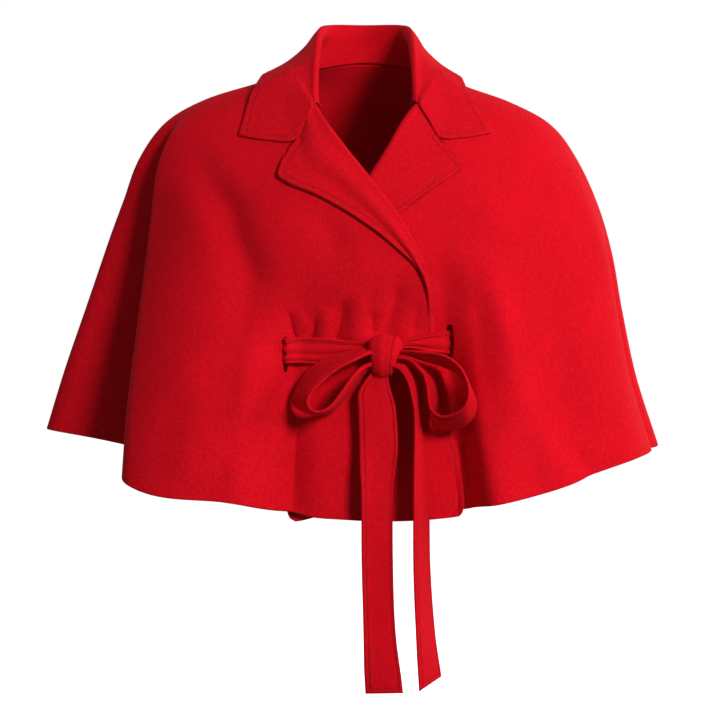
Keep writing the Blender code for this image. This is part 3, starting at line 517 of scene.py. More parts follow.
    def find(self, layer: Layer, x: Array, z: Array, lift: Array | float = 0.0) -> tuple[Array, Array]:
        """Turn and level where a layer lies at x and z in the front view, by Newton's method."""
        x = np.asarray(x, dtype=float)
        z = np.asarray(z, dtype=float)
        heights = self.columns["z_front"]
        level = np.clip(np.interp(-z, -heights, np.linspace(0, 1, len(heights))), STEP, 1.0)
        turn = np.arcsin(np.clip(x / self.ring("right", level), -0.95, 0.95))
        for _ in range(SOLVE_ROUNDS):
            here = layer(turn, level, lift)
            by_turn = (layer(turn + STEP, level, lift) - here) / STEP
            by_level = (layer(turn, level - STEP, lift) - here) / -STEP
            miss_x = x - here[..., 0]
            miss_z = z - here[..., 2]
            size = by_turn[..., 0] * by_level[..., 2] - by_level[..., 0] * by_turn[..., 2]
            turn_step = (miss_x * by_level[..., 2] - miss_z * by_level[..., 0]) / size
            level_step = (miss_z * by_turn[..., 0] - miss_x * by_turn[..., 2]) / size
            turn = np.clip(turn + np.clip(turn_step, -TURN_STEP, TURN_STEP), -TURN_LIMIT, TURN_LIMIT)
            level = np.clip(level + np.clip(level_step, -LEVEL_STEP, LEVEL_STEP), STEP, 1.0)
        for _ in range(SOLVE_ROUNDS):
            here = layer(turn, level, lift)
            pace = (layer(turn + STEP, level, lift) - here)[..., 0] / STEP
            held = (level <= STEP) | (level >= 1.0)
            turn = turn + held * np.clip((x - here[..., 0]) / pace, -TURN_STEP, TURN_STEP)
        return turn, level

    def on_layer(self, layer: Layer, x: Array, z: Array, lift: Array | float) -> Array:
        """Points over a layer at x and z in the front view, lifted off it."""
        turn, level = self.find(layer, x, z, lift)
        return layer(turn, level, lift)

    def keep_off(self, points: Array, layer: Layer, lift: Array, rounds: int = 2) -> Array:
        """Points moved out along a layer's normal wherever they lie closer to it than lift."""
        for _ in range(rounds):
            turn, level = self.find(layer, points[..., 0], points[..., 2])
            base = layer(turn, level)
            normal = layer(turn, level, 1.0) - base
            height = np.sum((points - base) * normal, axis=-1)
            short = np.where(level > 2 * STEP, np.maximum(lift - height, 0.0), 0.0)
            points = points + normal * short[..., None]
        return points


def border(index: Array) -> Array:
    """The rim of a grid of numbers as one loop: top row, last column, bottom row, first column."""
    return np.concatenate([index[0, :-1], index[:-1, -1], index[-1, :0:-1], index[:0:-1, 0]])


@dataclass
class Wall:
    """A wall of cloth round a middle surface, its edge turned over in a half circle.

    middle is a grid of points, half the half thickness, stitched a mask of the rim points
    with a row of topstitching beside them, and hole the first and last row and column of an
    opening. mitre is the share of a setback that a stitched line keeps from every edge.
    """

    middle: Array
    half: Array | float
    stitched: Array | None = None
    hole: tuple[int, int, int, int] | None = None
    mitre: float = 0.97

    def __post_init__(self) -> None:
        """Work out normals, the rims, and each point's distance from the stitched edges."""
        shape = self.middle.shape[:2]
        self.normals = grid_normals(self.middle)
        self.half = np.array(np.broadcast_to(self.half, shape))
        index = np.arange(shape[0] * shape[1]).reshape(shape)
        self.loops = [border(index)]
        if self.hole:
            top, bottom, first, last = self.hole
            self.loops.append(border(index[top:bottom + 1, first:last + 1])[::-1])
        self.index = index
        self.edge = np.full(shape, FAR)
        if self.stitched is not None:
            loop = self.loops[0]
            marked = loop[self.stitched.ravel()[loop]]
            for point in self.middle.reshape(-1, 3)[marked]:
                self.edge = np.minimum(self.edge, np.linalg.norm(self.middle - point, axis=-1))

    def outward(self, loop: Array) -> Array:
        """Directions out of the cloth along a rim: its normal crossed with the rim's own way."""
        points = self.middle.reshape(-1, 3)[loop]
        way = np.roll(points, -1, axis=0) - np.roll(points, 1, axis=0)
        return unit(np.cross(self.normals.reshape(-1, 3)[loop], way))

    def topstitch(self, setback: float) -> tuple[Array, Array]:
        """The line on the outer face that runs a setback inside the stitched edges.

        Args:
            setback: its distance from them.

        Returns:
            Its points and the normals there. Points nearer to any stitched edge than the
            setback are left out, so corners are mitred.
        """
        loop = self.loops[0]
        keep = self.stitched.ravel()[loop]
        start = int(np.argmin(keep)) if not keep.all() else 0
        loop = np.roll(loop, -start)
        keep = np.roll(keep, -start)
        flat = self.middle.reshape(-1, 3)
        edge = flat[loop][keep]
        fine = np.linspace(0, len(edge) - 1, 4 * len(edge))
        whole = np.arange(len(edge))
        edge_fine = read_line(fine, whole, edge)
        out_fine = unit(read_line(fine, whole, self.outward(loop)[keep]))
        points = edge_fine - out_fine * setback
        near = np.array([np.argmin(((flat - point) ** 2).sum(axis=1)) for point in points])
        normals = self.normals.reshape(-1, 3)[near]
        off = np.sum((points - flat[near]) * normals, axis=1, keepdims=True)
        points = points - normals * off
        clear = np.array([np.min(((edge_fine - point) ** 2).sum(axis=1)) for point in points])
        kept = clear > (self.mitre * setback) ** 2
        points, normals, half = points[kept], normals[kept], self.half.ravel()[near][kept]
        return points + normals * half[:, None], normals

    def mesh(self, name: str) -> bpy.types.Mesh:
        """The closed mesh, with the cloth's own coordinates and edge distance as attributes."""
        rows, columns = self.middle.shape[:2]
        count = rows * columns
        base = self.middle.reshape(-1, 3).copy()
        normal = self.normals.reshape(-1, 3)
        half = self.half.ravel()[:, None]
        outs = [self.outward(loop) for loop in self.loops]
        for loop, out in zip(self.loops, outs):
            base[loop] -= out * half[loop]
        points = [base + normal * half, base - normal * half]
        owner = [np.arange(count), np.arange(count)]
        index = self.index
        corners = [index[:-1, :-1], index[1:, :-1], index[1:, 1:], index[:-1, 1:]]
        cells = np.stack(corners, axis=-1)
        open_cell = np.ones((rows - 1, columns - 1), dtype=bool)
        if self.hole:
            top, bottom, first, last = self.hole
            open_cell[top:bottom, first:last] = False
        cells = cells[open_cell]
        faces = [cells, cells[:, ::-1] + count]
        made = 2 * count
        for loop, out in zip(self.loops, outs):
            rings = [loop]
            for turn in np.linspace(0.0, math.pi, RIM_STEPS + 1)[1:-1]:
                bent = out * math.sin(turn) + normal[loop] * math.cos(turn)
                points.append(base[loop] + half[loop] * bent)
                owner.append(loop)
                rings.append(np.arange(made, made + len(loop)))
                made += len(loop)
            rings.append(loop + count)
            for upper, lower in zip(rings[:-1], rings[1:]):
                after, below = np.roll(upper, -1), np.roll(lower, -1)
                faces.append(np.stack([upper, after, below, lower], axis=-1))
        faces = np.concatenate(faces)
        used, faces = np.unique(faces, return_inverse=True)
        owner = np.concatenate(owner)[used]
        mesh = bpy.data.meshes.new(name)
        mesh.from_pydata(np.concatenate(points)[used].tolist(), [], faces.reshape(-1, 4).tolist())
        across = np.linalg.norm(np.diff(self.middle, axis=1), axis=-1).mean(axis=0)
        down = np.linalg.norm(np.diff(self.middle, axis=0), axis=-1).mean(axis=1)
        u = np.concatenate(([0.0], np.cumsum(across)))
        v = np.concatenate(([0.0], np.cumsum(down)))
        weave = np.stack(np.broadcast_arrays(u[None, :], v[:, None], 0.0), axis=-1).reshape(-1, 3)
        lay_out(mesh, weave[owner], self.edge.ravel()[owner])
        return finished(mesh)


def lay_out(mesh: bpy.types.Mesh, weave: Array, edge: Array) -> None:
    """Give a mesh the attributes that the wool reads: places on the cloth and edge distances."""
    for name, kind, field, values in (
        ("weave", "FLOAT_VECTOR", "vector", weave),
        ("edge", "FLOAT", "value", edge),
    ):
        made = mesh.attributes.new(name, kind, "POINT")
        made.data.foreach_set(field, values.astype(np.float32).ravel())


def finished(mesh: bpy.types.Mesh) -> bpy.types.Mesh:
    """Smooth shade a mesh and check its data."""
    mesh.polygons.foreach_set("use_smooth", np.ones(len(mesh.polygons), dtype=bool))
    mesh.validate()
    mesh.update()
    return mesh


@dataclass(frozen=True)
class Thread:
    """Topstitching: the lengths of stitches, the thread's thickness and how it beds in."""

    pitch: float = 0.0036
    length: float = 0.0031
    radius: float = 0.00030
    proud: float = 0.00010
    bend: float = 0.00042
    taper: float = 0.97
    look: float = 0.4
    sections: int = 7
    sides: int = 6

    def mesh(self, name: str, lines: list[tuple[Array, Array]]) -> bpy.types.Mesh:
        """Rows of short rounded stitches along lines on the cloth.

        Args:
            name: the mesh's name.
            lines: each line's points on the surface and the normals there.

        Returns:
            One mesh. A stitch is a tube of rings. Its ring at s from -1 to 1 has the radius
            times the square root of 1 less taper times s to the fourth, and dips by bend times
            s squared.
        """
        along = np.linspace(-1.0, 1.0, self.sections)
        round_it = np.linspace(0.0, 2 * math.pi, self.sides, endpoint=False)
        girth = self.radius * np.sqrt(1.0 - self.taper * along ** 4)
        dip = self.proud - self.bend * along ** 2
        forward = np.repeat(0.5 * self.length * along[:, None], self.sides, axis=1)
        height = dip[:, None] + girth[:, None] * np.cos(round_it)
        sideways = girth[:, None] * np.sin(round_it)
        points = []
        for line, normals in lines:
            gone = reach_along(line)
            count = int(gone[-1] / self.pitch)
            if count < 1:
                continue
            middle = (np.arange(count) + 0.5) * gone[-1] / count
            reach = self.look * self.pitch
            way = unit(read_line(middle + reach, gone, line) - read_line(middle - reach, gone, line))
            up = unit(read_line(middle, gone, normals))
            side = unit(np.cross(way, up))
            stitch = read_line(middle, gone, line)[:, None, None] + way[:, None, None] * forward[..., None]
            stitch = stitch + up[:, None, None] * height[..., None]
            stitch = stitch + side[:, None, None] * sideways[..., None]
            points.append(stitch.reshape(-1, 3))
        points = np.concatenate(points)
        each = self.sections * self.sides
        ring = np.arange(each).reshape(self.sections, self.sides)
        after = np.roll(ring, -1, axis=1)
        tube = np.stack([ring[:-1], after[:-1], after[1:], ring[1:]], axis=-1).reshape(-1, 4)
        starts = np.arange(len(points) // each)[:, None, None] * each
        quads = (tube[None] + starts).reshape(-1, 4).tolist()
        first_caps = (ring[0, ::-1][None] + starts[:, 0]).tolist()
        last_caps = (ring[-1][None] + starts[:, 0]).tolist()
        mesh = bpy.data.meshes.new(name)
        mesh.from_pydata(points.tolist(), [], quads + first_caps + last_caps)
        return finished(mesh)


def add_object(name: str, mesh: bpy.types.Mesh, finish: bpy.types.Material) -> bpy.types.Object:
    """An object for a mesh, in the scene, with its material."""
    made = bpy.data.objects.new(name, mesh)
    bpy.context.scene.collection.objects.link(made)
    mesh.materials.append(finish)
    log.info("made %s: %d points, %d faces", name, len(mesh.vertices), len(mesh.polygons))
    return made


def node_group(name: str, takes: dict[str, str], gives: dict[str, str]) -> bpy.types.ShaderNodeTree:
    """An empty shader node group with named sockets."""
    group = bpy.data.node_groups.new(name, "ShaderNodeTree")
    for socket, kind in takes.items():
        group.interface.new_socket(socket, in_out="INPUT", socket_type=kind)
    for socket, kind in gives.items():
        group.interface.new_socket(socket, in_out="OUTPUT", socket_type=kind)
    return group


def add_node(
    tree: bpy.types.NodeTree, kind: str, settings: dict | None = None, **values: object
) -> bpy.types.Node:
    """A node in a tree, with its settings and the values of its input sockets."""
    node = tree.nodes.new(kind)
    for name, value in (settings or {}).items():
        setattr(node, name, value)
    for name, value in values.items():
        node.inputs[name.replace("_", " ")].default_value = value
    return node


def add_mix(
    tree: bpy.types.NodeTree, share: object, first: object, second: Colour, blend: str = "MIX"
) -> object:
    """A mix of two colours by a share that changes over the surface.

    Args:
        tree: the node tree.
        share: the output socket that drives the mix.
        first: the colour where the share is 0, or the output socket that gives it.
        second: the colour where it is 1.
        blend: the way of blending.

    Returns:
        The output socket with the mixed colour.
    """
    node = add_node(tree, "ShaderNodeMix", {"data_type": "RGBA", "blend_type": blend})
    tree.links.new(share, node.inputs[MIX_SHARE])
    if isinstance(first, tuple):
        node.inputs[MIX_FIRST].default_value = first
    else:
        tree.links.new(first, node.inputs[MIX_FIRST])
    node.inputs[MIX_SECOND].default_value = second
    return node.outputs[MIX_RESULT]


@dataclass(frozen=True)
class FeltedNap:
    """The felted face of the wool, as a group: a tone and a height that change over the cloth.

    Streaks lie down the cloth, pills are round and small, and clouds are broad.
    """

    streak: float = 520.0
    pill: float = 760.0
    tuft: float = 260.0
    cloud: float = 16.0
    stretch: float = 0.55
    lean: float = 0.16
    roughness: float = 0.6
    darkest: float = 0.40
    lightest: float = 0.60

    def build(self) -> bpy.types.ShaderNodeTree:
        """Four noises on the cloth's own coordinates, added by their weights."""
        group = node_group(
            "felted nap",
            {"Weave": "NodeSocketVector", "Strength": "NodeSocketFloat"},
            {"Tone": "NodeSocketFloat", "Height": "NodeSocketFloat"},
        )
        link = group.links.new
        takes = group.nodes.new("NodeGroupInput")
        gives = group.nodes.new("NodeGroupOutput")
        laid = add_node(
            group, "ShaderNodeMapping", None, Scale=(1.0, self.stretch, 1.0), Rotation=(0.0, 0.0, self.lean)
        )
        link(takes.outputs["Weave"], laid.inputs["Vector"])
        tone = None
        height = None
        for scale, detail, source, in_tone, in_height in (
            (self.streak, 3.0, laid.outputs["Vector"], 0.24, 0.35),
            (self.pill, 2.0, takes.outputs["Weave"], 0.36, 0.45),
            (self.tuft, 2.0, laid.outputs["Vector"], 0.24, 0.30),
            (self.cloud, 3.0, takes.outputs["Weave"], 0.16, 0.0),
        ):
            noise = add_node(
                group, "ShaderNodeTexNoise", None, Scale=scale, Detail=detail, Roughness=self.roughness
            )
            link(source, noise.inputs["Vector"])
            tone = self.add(group, noise.outputs[0], in_tone, tone)
            height = self.add(group, noise.outputs[0], in_height, height)
        spread_tone = add_node(group, "ShaderNodeMapRange")
        spread_tone.inputs["From Min"].default_value = self.darkest
        spread_tone.inputs["From Max"].default_value = self.lightest
        link(tone, spread_tone.inputs["Value"])
        scaled = add_node(group, "ShaderNodeMath", {"operation": "MULTIPLY"})
        link(height, scaled.inputs[0])
        link(takes.outputs["Strength"], scaled.inputs[1])
        link(spread_tone.outputs["Result"], gives.inputs["Tone"])
        link(scaled.outputs[0], gives.inputs["Height"])
        return group

    def add(self, group: bpy.types.NodeTree, value: object, weight: float, total: object) -> object:
        """The total plus value times weight."""
        node = add_node(group, "ShaderNodeMath", {"operation": "MULTIPLY_ADD"})
        group.links.new(value, node.inputs[0])
        node.inputs[1].default_value = weight
        if total is None:
            node.inputs[2].default_value = 0.0
        else:
            group.links.new(total, node.inputs[2])
        return node.outputs[0]


@dataclass(frozen=True)
class StitchGroove:
    """The line that a row of topstitching presses into the cloth, as a group."""

    reach: float = 0.0019

    def build(self) -> bpy.types.ShaderNodeTree:
        """1 on the line a setback inside the edge, easing to 0 at reach from it."""
        group = node_group(
            "stitch groove",
            {"Edge": "NodeSocketFloat", "Setback": "NodeSocketFloat"},
            {"Groove": "NodeSocketFloat"},
        )
        takes = group.nodes.new("NodeGroupInput")
        gives = group.nodes.new("NodeGroupOutput")
        less = add_node(group, "ShaderNodeMath", {"operation": "SUBTRACT"})
        size = add_node(group, "ShaderNodeMath", {"operation": "ABSOLUTE"})
        near = add_node(group, "ShaderNodeMapRange", {"interpolation_type": "SMOOTHSTEP"})
        near.inputs["From Max"].default_value = self.reach
        near.inputs["To Min"].default_value = 1.0
        near.inputs["To Max"].default_value = 0.0
        group.links.new(takes.outputs["Edge"], less.inputs[0])
        group.links.new(takes.outputs["Setback"], less.inputs[1])
        group.links.new(less.outputs[0], size.inputs[0])
        group.links.new(size.outputs[0], near.inputs["Value"])
        group.links.new(near.outputs["Result"], gives.inputs["Groove"])
        return group


@dataclass(frozen=True)
class Wool:
    """A finish of felted wool."""

    name: str
    light: Colour
    dark: Colour
    setback: float
    nap: float = 1.0
    sheen: float = 0.03
    sheen_roughness: float = 0.42
    sheen_tint: Colour = (1.0, 0.10, 0.12, 1.0)
    roughness: float = 0.92
    specular: float = 0.09
    # Painted shade in the stitch groove: the colour that the cloth's colour is multiplied by there
    groove_painted_shade: Colour = (0.80, 0.73, 0.73, 1.0)
    nap_bump: tuple[float, float] = (0.55, 0.0009)
    groove_bump: tuple[float, float] = (0.75, 0.0006)

    def build(self, nap: bpy.types.ShaderNodeTree, groove: bpy.types.ShaderNodeTree) -> bpy.types.Material:
        """The material: the nap tones and raises the cloth, and the stitch groove sinks it and darkens its
        colour as painted shade.
        """
        made = bpy.data.materials.new(self.name)
        made.use_nodes = True
        tree = made.node_tree
        link = tree.links.new
        surface = tree.nodes["Principled BSDF"]
        surface.inputs["Roughness"].default_value = self.roughness
        surface.inputs["Specular IOR Level"].default_value = self.specular
        surface.inputs["Sheen Weight"].default_value = self.sheen
        surface.inputs["Sheen Roughness"].default_value = self.sheen_roughness
        surface.inputs["Sheen Tint"].default_value = self.sheen_tint
        weave = add_node(tree, "ShaderNodeAttribute", {"attribute_name": "weave"})
        edge = add_node(tree, "ShaderNodeAttribute", {"attribute_name": "edge"})
        felt = add_node(tree, "ShaderNodeGroup", {"node_tree": nap}, Strength=self.nap)
        pressed = add_node(tree, "ShaderNodeGroup", {"node_tree": groove}, Setback=self.setback)
        link(weave.outputs["Vector"], felt.inputs["Weave"])
        link(edge.outputs["Fac"], pressed.inputs["Edge"])
        tones = add_mix(tree, felt.outputs["Tone"], self.dark, self.light)
        # Painted shade: the colour is multiplied darker along the stitch groove
        shaded = add_mix(tree, pressed.outputs["Groove"], tones, self.groove_painted_shade, "MULTIPLY")
        link(shaded, surface.inputs["Base Color"])
        strength, distance = self.nap_bump
        raise_nap = add_node(tree, "ShaderNodeBump", None, Strength=strength, Distance=distance)
        strength, distance = self.groove_bump
        sink_line = add_node(tree, "ShaderNodeBump", {"invert": True}, Strength=strength, Distance=distance)
        link(pressed.outputs["Groove"], sink_line.inputs["Height"])
        link(sink_line.outputs["Normal"], raise_nap.inputs["Normal"])
        link(felt.outputs["Height"], raise_nap.inputs["Height"])
        link(raise_nap.outputs["Normal"], surface.inputs["Normal"])
        return made


@dataclass(frozen=True)
class ThreadFinish:
    """Twisted sewing thread, dyed to match."""

    colour: Colour = (0.52, 0.003, 0.010, 1.0)
    shade: float = 0.7
    ply: float = 1500.0
    roughness: float = 0.6
    specular: float = 0.3
    bump: tuple[float, float] = (0.4, 0.0002)

    def build(self) -> bpy.types.Material:
        """The material: a fine twist in colour and height."""
        made = bpy.data.materials.new("thread red")
        made.use_nodes = True
        tree = made.node_tree
        surface = tree.nodes["Principled BSDF"]
        surface.inputs["Roughness"].default_value = self.roughness
        surface.inputs["Specular IOR Level"].default_value = self.specular
        place = add_node(tree, "ShaderNodeTexCoord")
        twist = add_node(tree, "ShaderNodeTexNoise", None, Scale=self.ply, Detail=1.0)
        darker = tuple(self.shade * part for part in self.colour[:3]) + (1.0,)
        tones = add_mix(tree, twist.outputs[0], darker, self.colour)
        strength, distance = self.bump
        bump = add_node(tree, "ShaderNodeBump", None, Strength=strength, Distance=distance)
        tree.links.new(place.outputs["Object"], twist.inputs["Vector"])
        tree.links.new(twist.outputs[0], bump.inputs["Height"])
        tree.links.new(tones, surface.inputs["Base Color"])
        tree.links.new(bump.outputs["Normal"], surface.inputs["Normal"])
        return made


class Workroom:
    """The finishes, made once, and the way a piece is put in the scene."""

    def __init__(self) -> None:
        """Build every material."""
        nap = FeltedNap().build()
        groove = StitchGroove().build()
        self.thread = ThreadFinish().build()
        wools = {
            Slot.WOOL: Wool("wool red", PANEL_LIGHT, PANEL_DARK, FRONT_SETBACK),
            Slot.FOLDED: Wool("wool folded", FOLD_LIGHT, FOLD_DARK, FOLDED_SETBACK, 0.9),
            Slot.BELT: Wool("wool belt", FOLD_LIGHT, FOLD_DARK, BELT_SETBACK, 0.8),
        }
        self.finish = {slot: wool.build(nap, groove) for slot, wool in wools.items()}

    def place(self, node: str, mesh: bpy.types.Mesh, slot: Slot) -> bpy.types.Object:
        """Put a piece of cloth in the scene in place of its CAD node, and return it."""
        made = add_object("cloth_" + node, mesh, self.finish[slot])
        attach(made, "root")
        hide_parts(node)
        return made

    def sew(self, node: str, lines: list[tuple[Array, Array]]) -> bpy.types.Object:
        """Topstitching along lines on a piece, as a piece of its own."""
        name = "stitches_" + node
        made = add_object(name, Thread().mesh(name, lines), self.thread)
        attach(made, "root")
        return made


def seam_turn(at_shoulder: float, level: Array) -> Array:
    """Turn of a side seam down the cape: it swings back by SEAM_SWING below the shoulder."""
    return at_shoulder + math.copysign(SEAM_SWING, at_shoulder) * ease((level - SWING_FROM) / SWING_OVER)


@dataclass
class Front:
    """A front of the cape, from its own edge round to the side seam, with its belt slit."""

    name: str
    side: Side
    edge: Path
    seam: float
    slit: tuple[float, float, float, float]
    break_z: float
    rows: int = 150
    columns: int = 190
    corner_radius: float = 0.012
    corner_rows: tuple[float, ...] = (1.0, 0.8, 0.6, 0.42, 0.27, 0.13, 0.0)
    corner_clear: float = 1.3
    even_above: float = 0.14
    even_from: float = 0.3
    tuck_over: float = 0.02
    hem_clear: float = 0.006
    roll_tuck: float = 0.0034
    slit_reach: float = 12.0
    slit_ends: float = 0.45
    slit_near: float = 0.03
    flat: tuple[float, float] = (0.56, 0.56)
    cut: float = 0.60

    def levels(self, form: CapeForm) -> tuple[Array, Array]:
        """Levels of the rows, the last few close together for the rounded hem corner."""
        fall = form.ring("z_front", 0.0) - form.ring("z_front", 1.0)
        rows = np.linspace(0.0, 1.0, self.rows)
        above = rows[rows < 1.0 - self.corner_clear * self.corner_radius / fall]
        from_hem = np.array(self.corner_rows) * self.corner_radius
        return np.concatenate([above, 1.0 - from_hem / fall]), from_hem

    def grid(self, form: CapeForm, layer: Layer) -> tuple[Array, Array]:
        """Turn and level of every grid point: from the edge's own line evenly to the seam."""
        line = spread(self.edge, self.rows)
        outer = -self.side.value
        turn_edge, level_edge = form.find(layer, line[:, 0], line[:, 1])
        level_edge[0] = 0.0
        level_edge[-1] = 1.0
        rows = np.linspace(0.0, 1.0, self.rows)
        levels, from_hem = self.levels(form)
        corner = len(from_hem)
        turn_edge = smooth_through(rows, turn_edge, levels)
        level_edge = smooth_through(rows, level_edge, levels)
        level_edge = levels + (level_edge - levels) * ease((1.0 - levels) / self.even_above - self.even_from)
        height = layer(turn_edge, level_edge)[:, 2]
        tucked = self.roll_tuck * ease((height - self.break_z) / self.tuck_over)
        radius = self.corner_radius
        inward = radius - np.sqrt(radius ** 2 - (radius - from_hem) ** 2)
        turn_edge[-corner:] -= outer * inward / form.ring("right", 1.0)
        turn_edge -= outer * tucked / form.ring("right", level_edge)
        share = np.linspace(0.0, 1.0, self.columns)
        seam = seam_turn(self.seam, levels)
        turn = turn_edge[:, None] + (seam - turn_edge)[:, None] * share
        level = level_edge[:, None] + (levels[:, None] - level_edge[:, None]) * ease(share)
        if self.side is Side.LEFT:
            turn, level = turn[:, ::-1], level[:, ::-1]
        return turn.copy(), level.copy()

    def open_slit(self, form: CapeForm, layer: Layer, turn: Array, level: Array) -> tuple[int, int, int, int]:
        """Draw the grid's lines onto the slit's outline, and say which cells it leaves open.

        The nearest three columns and the rows between its ends move onto the outline, and
        the cells around follow by a share that eases out with distance.
        """
        x, z_top, z_bottom, width = self.slit
        points = layer(turn, level)
        depth = form.on_layer(layer, x, 0.5 * (z_top + z_bottom), 0.0)[1]
        inside = np.abs(points[..., 1] - depth) < self.slit_near

        def nearest(at_z: float) -> tuple[int, int]:
            off = np.hypot(points[..., 0] - x, points[..., 2] - at_z) + np.where(inside, 0.0, 1.0)
            return np.unravel_index(np.argmin(off), off.shape)

        top, column_top = nearest(z_top)
        bottom, column_bottom = nearest(z_bottom)
        column = (column_top + column_bottom) // 2
        count = bottom - top + 1
        z = np.linspace(z_top, z_bottom, count)
        part = np.linspace(0.0, 1.0, count)
        open_width = width * (self.slit_ends + (1 - self.slit_ends) * np.sin(math.pi * part) ** 0.5)
        x_three = x + open_width[:, None] * np.array([-0.5, 0.0, 0.5])
        z_three = np.repeat(z[:, None], 3, axis=1)
        to_turn, to_level = form.find(layer, x_three, z_three)
        rows = np.arange(turn.shape[0])
        columns = np.arange(turn.shape[1])
        near_row = np.clip(rows, top, bottom)
        near_column = np.clip(columns, column - 1, column + 1)
        away = np.hypot((rows - near_row)[:, None], (columns - near_column)[None, :])
        fade = ease(1.0 - away / self.slit_reach)
        shift_turn = (to_turn - turn[top:bottom + 1, column - 1:column + 2])[
            np.ix_(near_row - top, near_column - column + 1)
        ]
        shift_level = (to_level - level[top:bottom + 1, column - 1:column + 2])[
            np.ix_(near_row - top, near_column - column + 1)
        ]
        turn += shift_turn * fade
        level += shift_level * fade
        return int(top), int(bottom), int(column - 1), int(column + 1)

    def build(self, room: Workroom, form: CapeForm, layer: Layer) -> None:
        """Build the front and its topstitching."""
        turn, level = self.grid(form, layer)
        hole = self.open_slit(form, layer, turn, level)
        middle = layer(turn, level)
        stitched = np.zeros(turn.shape, dtype=bool)
        edge_column = -1 if self.side is Side.LEFT else 0
        stitched[:, edge_column] = middle[:, edge_column, 2] < self.break_z
        wall = Wall(middle, 0.5 * CLOTH, stitched, hole)
        piece = room.place(self.name, wall.mesh(self.name), Slot.WOOL)
        points, normals = wall.topstitch(FRONT_SETBACK)
        above = points[:, 2] > points[:, 2].min() + self.hem_clear
        stitches = room.sew(self.name, [(points[above], normals[above])])


@dataclass
class Back:
    """The back, in one piece from side seam to side seam."""

    seam_left: float
    seam_right: float
    rows: int = 140
    columns: int = 210
    flat: tuple[float, float] = (1.15, 0.60)
    cut: float = 0.56

    def build(self, room: Workroom, form: CapeForm) -> None:
        """Build the back."""
        rows = np.linspace(0.0, 1.0, self.rows)
        start = seam_turn(self.seam_right, rows)
        end = seam_turn(self.seam_left, rows) + 2 * math.pi
        for turn, way in ((start, 1.0), (end, -1.0)):
            pace = np.linalg.norm(form.sheet(turn + STEP, rows) - form.sheet(turn - STEP, rows), axis=-1)
            turn += way * SEAM_GAP * 2 * STEP / pace
        share = np.linspace(0.0, 1.0, self.columns)
        turn = start[:, None] + (end - start)[:, None] * share
        level = np.broadcast_to(rows[:, None], turn.shape)
        wall = Wall(form.raised(turn, level, 0.0), 0.5 * CLOTH)
        piece = room.place("back", wall.mesh("back"), Slot.WOOL)


@dataclass
class Lapel:
    """A lapel turned back over its front: over the roll line and out to its edge."""

    name: str
    side: Side
    front_edge: Path
    outline: Path
    top: float
    bulge: float
    rows: int = 110
    columns: int = 60
    wrap: int = 7
    edge_rise: float = 0.0014
    bulge_pace: float = 1.6
    taper: float = 16.0
    sunk: float = 0.25
    thin: float = 0.45
    flat: tuple[float, float] = (0.12, 0.27)
    cut: float = 0.42

    def build(self, room: Workroom, form: CapeForm, layer: Layer) -> None:
        """Build the lapel and its topstitching.

        A row leaves the front's edge, turns over it in a quarter circle, and runs straight
        to the outer edge, lifted off the front by a soft bulge beside the roll.
        """
        outer = spread(self.outline, self.rows)
        edge = np.array(self.front_edge)
        heights = -edge[:, 1]
        roll_z = np.linspace(self.top, outer[-1, 1], self.rows)
        roll_x = smooth_through(heights, edge[:, 0], -roll_z)
        roll = np.stack([roll_x, roll_z], axis=-1)
        way = unit(np.gradient(roll, axis=0))
        toward = np.stack([-way[:, 1], way[:, 0]], axis=-1)
        toward *= np.where(np.sum(toward * (outer[:, :2] - roll), axis=-1).mean() > 0, -1.0, 1.0)
        centre = roll - toward * FOLDED_LIFT
        bend = np.linspace(0.0, 0.5 * math.pi, self.wrap)
        share = np.linspace(0.0, 1.0, self.columns)[1:]
        wrap_place = centre[:, None] + toward[:, None] * (FOLDED_LIFT * np.cos(bend))[:, None]
        flat_place = centre[:, None] + (outer[:, :2] - centre)[:, None] * share[:, None]
        place = np.concatenate([wrap_place, flat_place], axis=1)
        swell = np.sin(math.pi * np.clip(self.bulge_pace * share, 0, 1)) ** 2
        flat_lift = FOLDED_LIFT + self.bulge * swell
        flat_lift = flat_lift + self.edge_rise * share ** 2
        lift = np.concatenate([FOLDED_LIFT * np.sin(bend), flat_lift])
        left_over = ease(np.arange(self.rows - 1, -1, -1) / self.taper)[:, None]
        lift = lift * (self.sunk + (1 - self.sunk) * left_over)
        middle = form.on_layer(layer, place[..., 0], place[..., 1], lift)
        half = 0.5 * FOLDED * (self.thin + (1 - self.thin) * left_over)
        half = np.broadcast_to(half, middle.shape[:2])
        stitched = np.zeros(middle.shape[:2], dtype=bool)
        stitched[:, -1] = True
        if self.side is Side.RIGHT:
            middle = middle[:, ::-1]
            stitched = stitched[:, ::-1]
        wall = Wall(middle[:, ::-1], half, stitched[:, ::-1])
        piece = room.place(self.name, wall.mesh(self.name), Slot.FOLDED)
        stitches = room.sew(self.name, [wall.topstitch(FOLDED_SETBACK)])


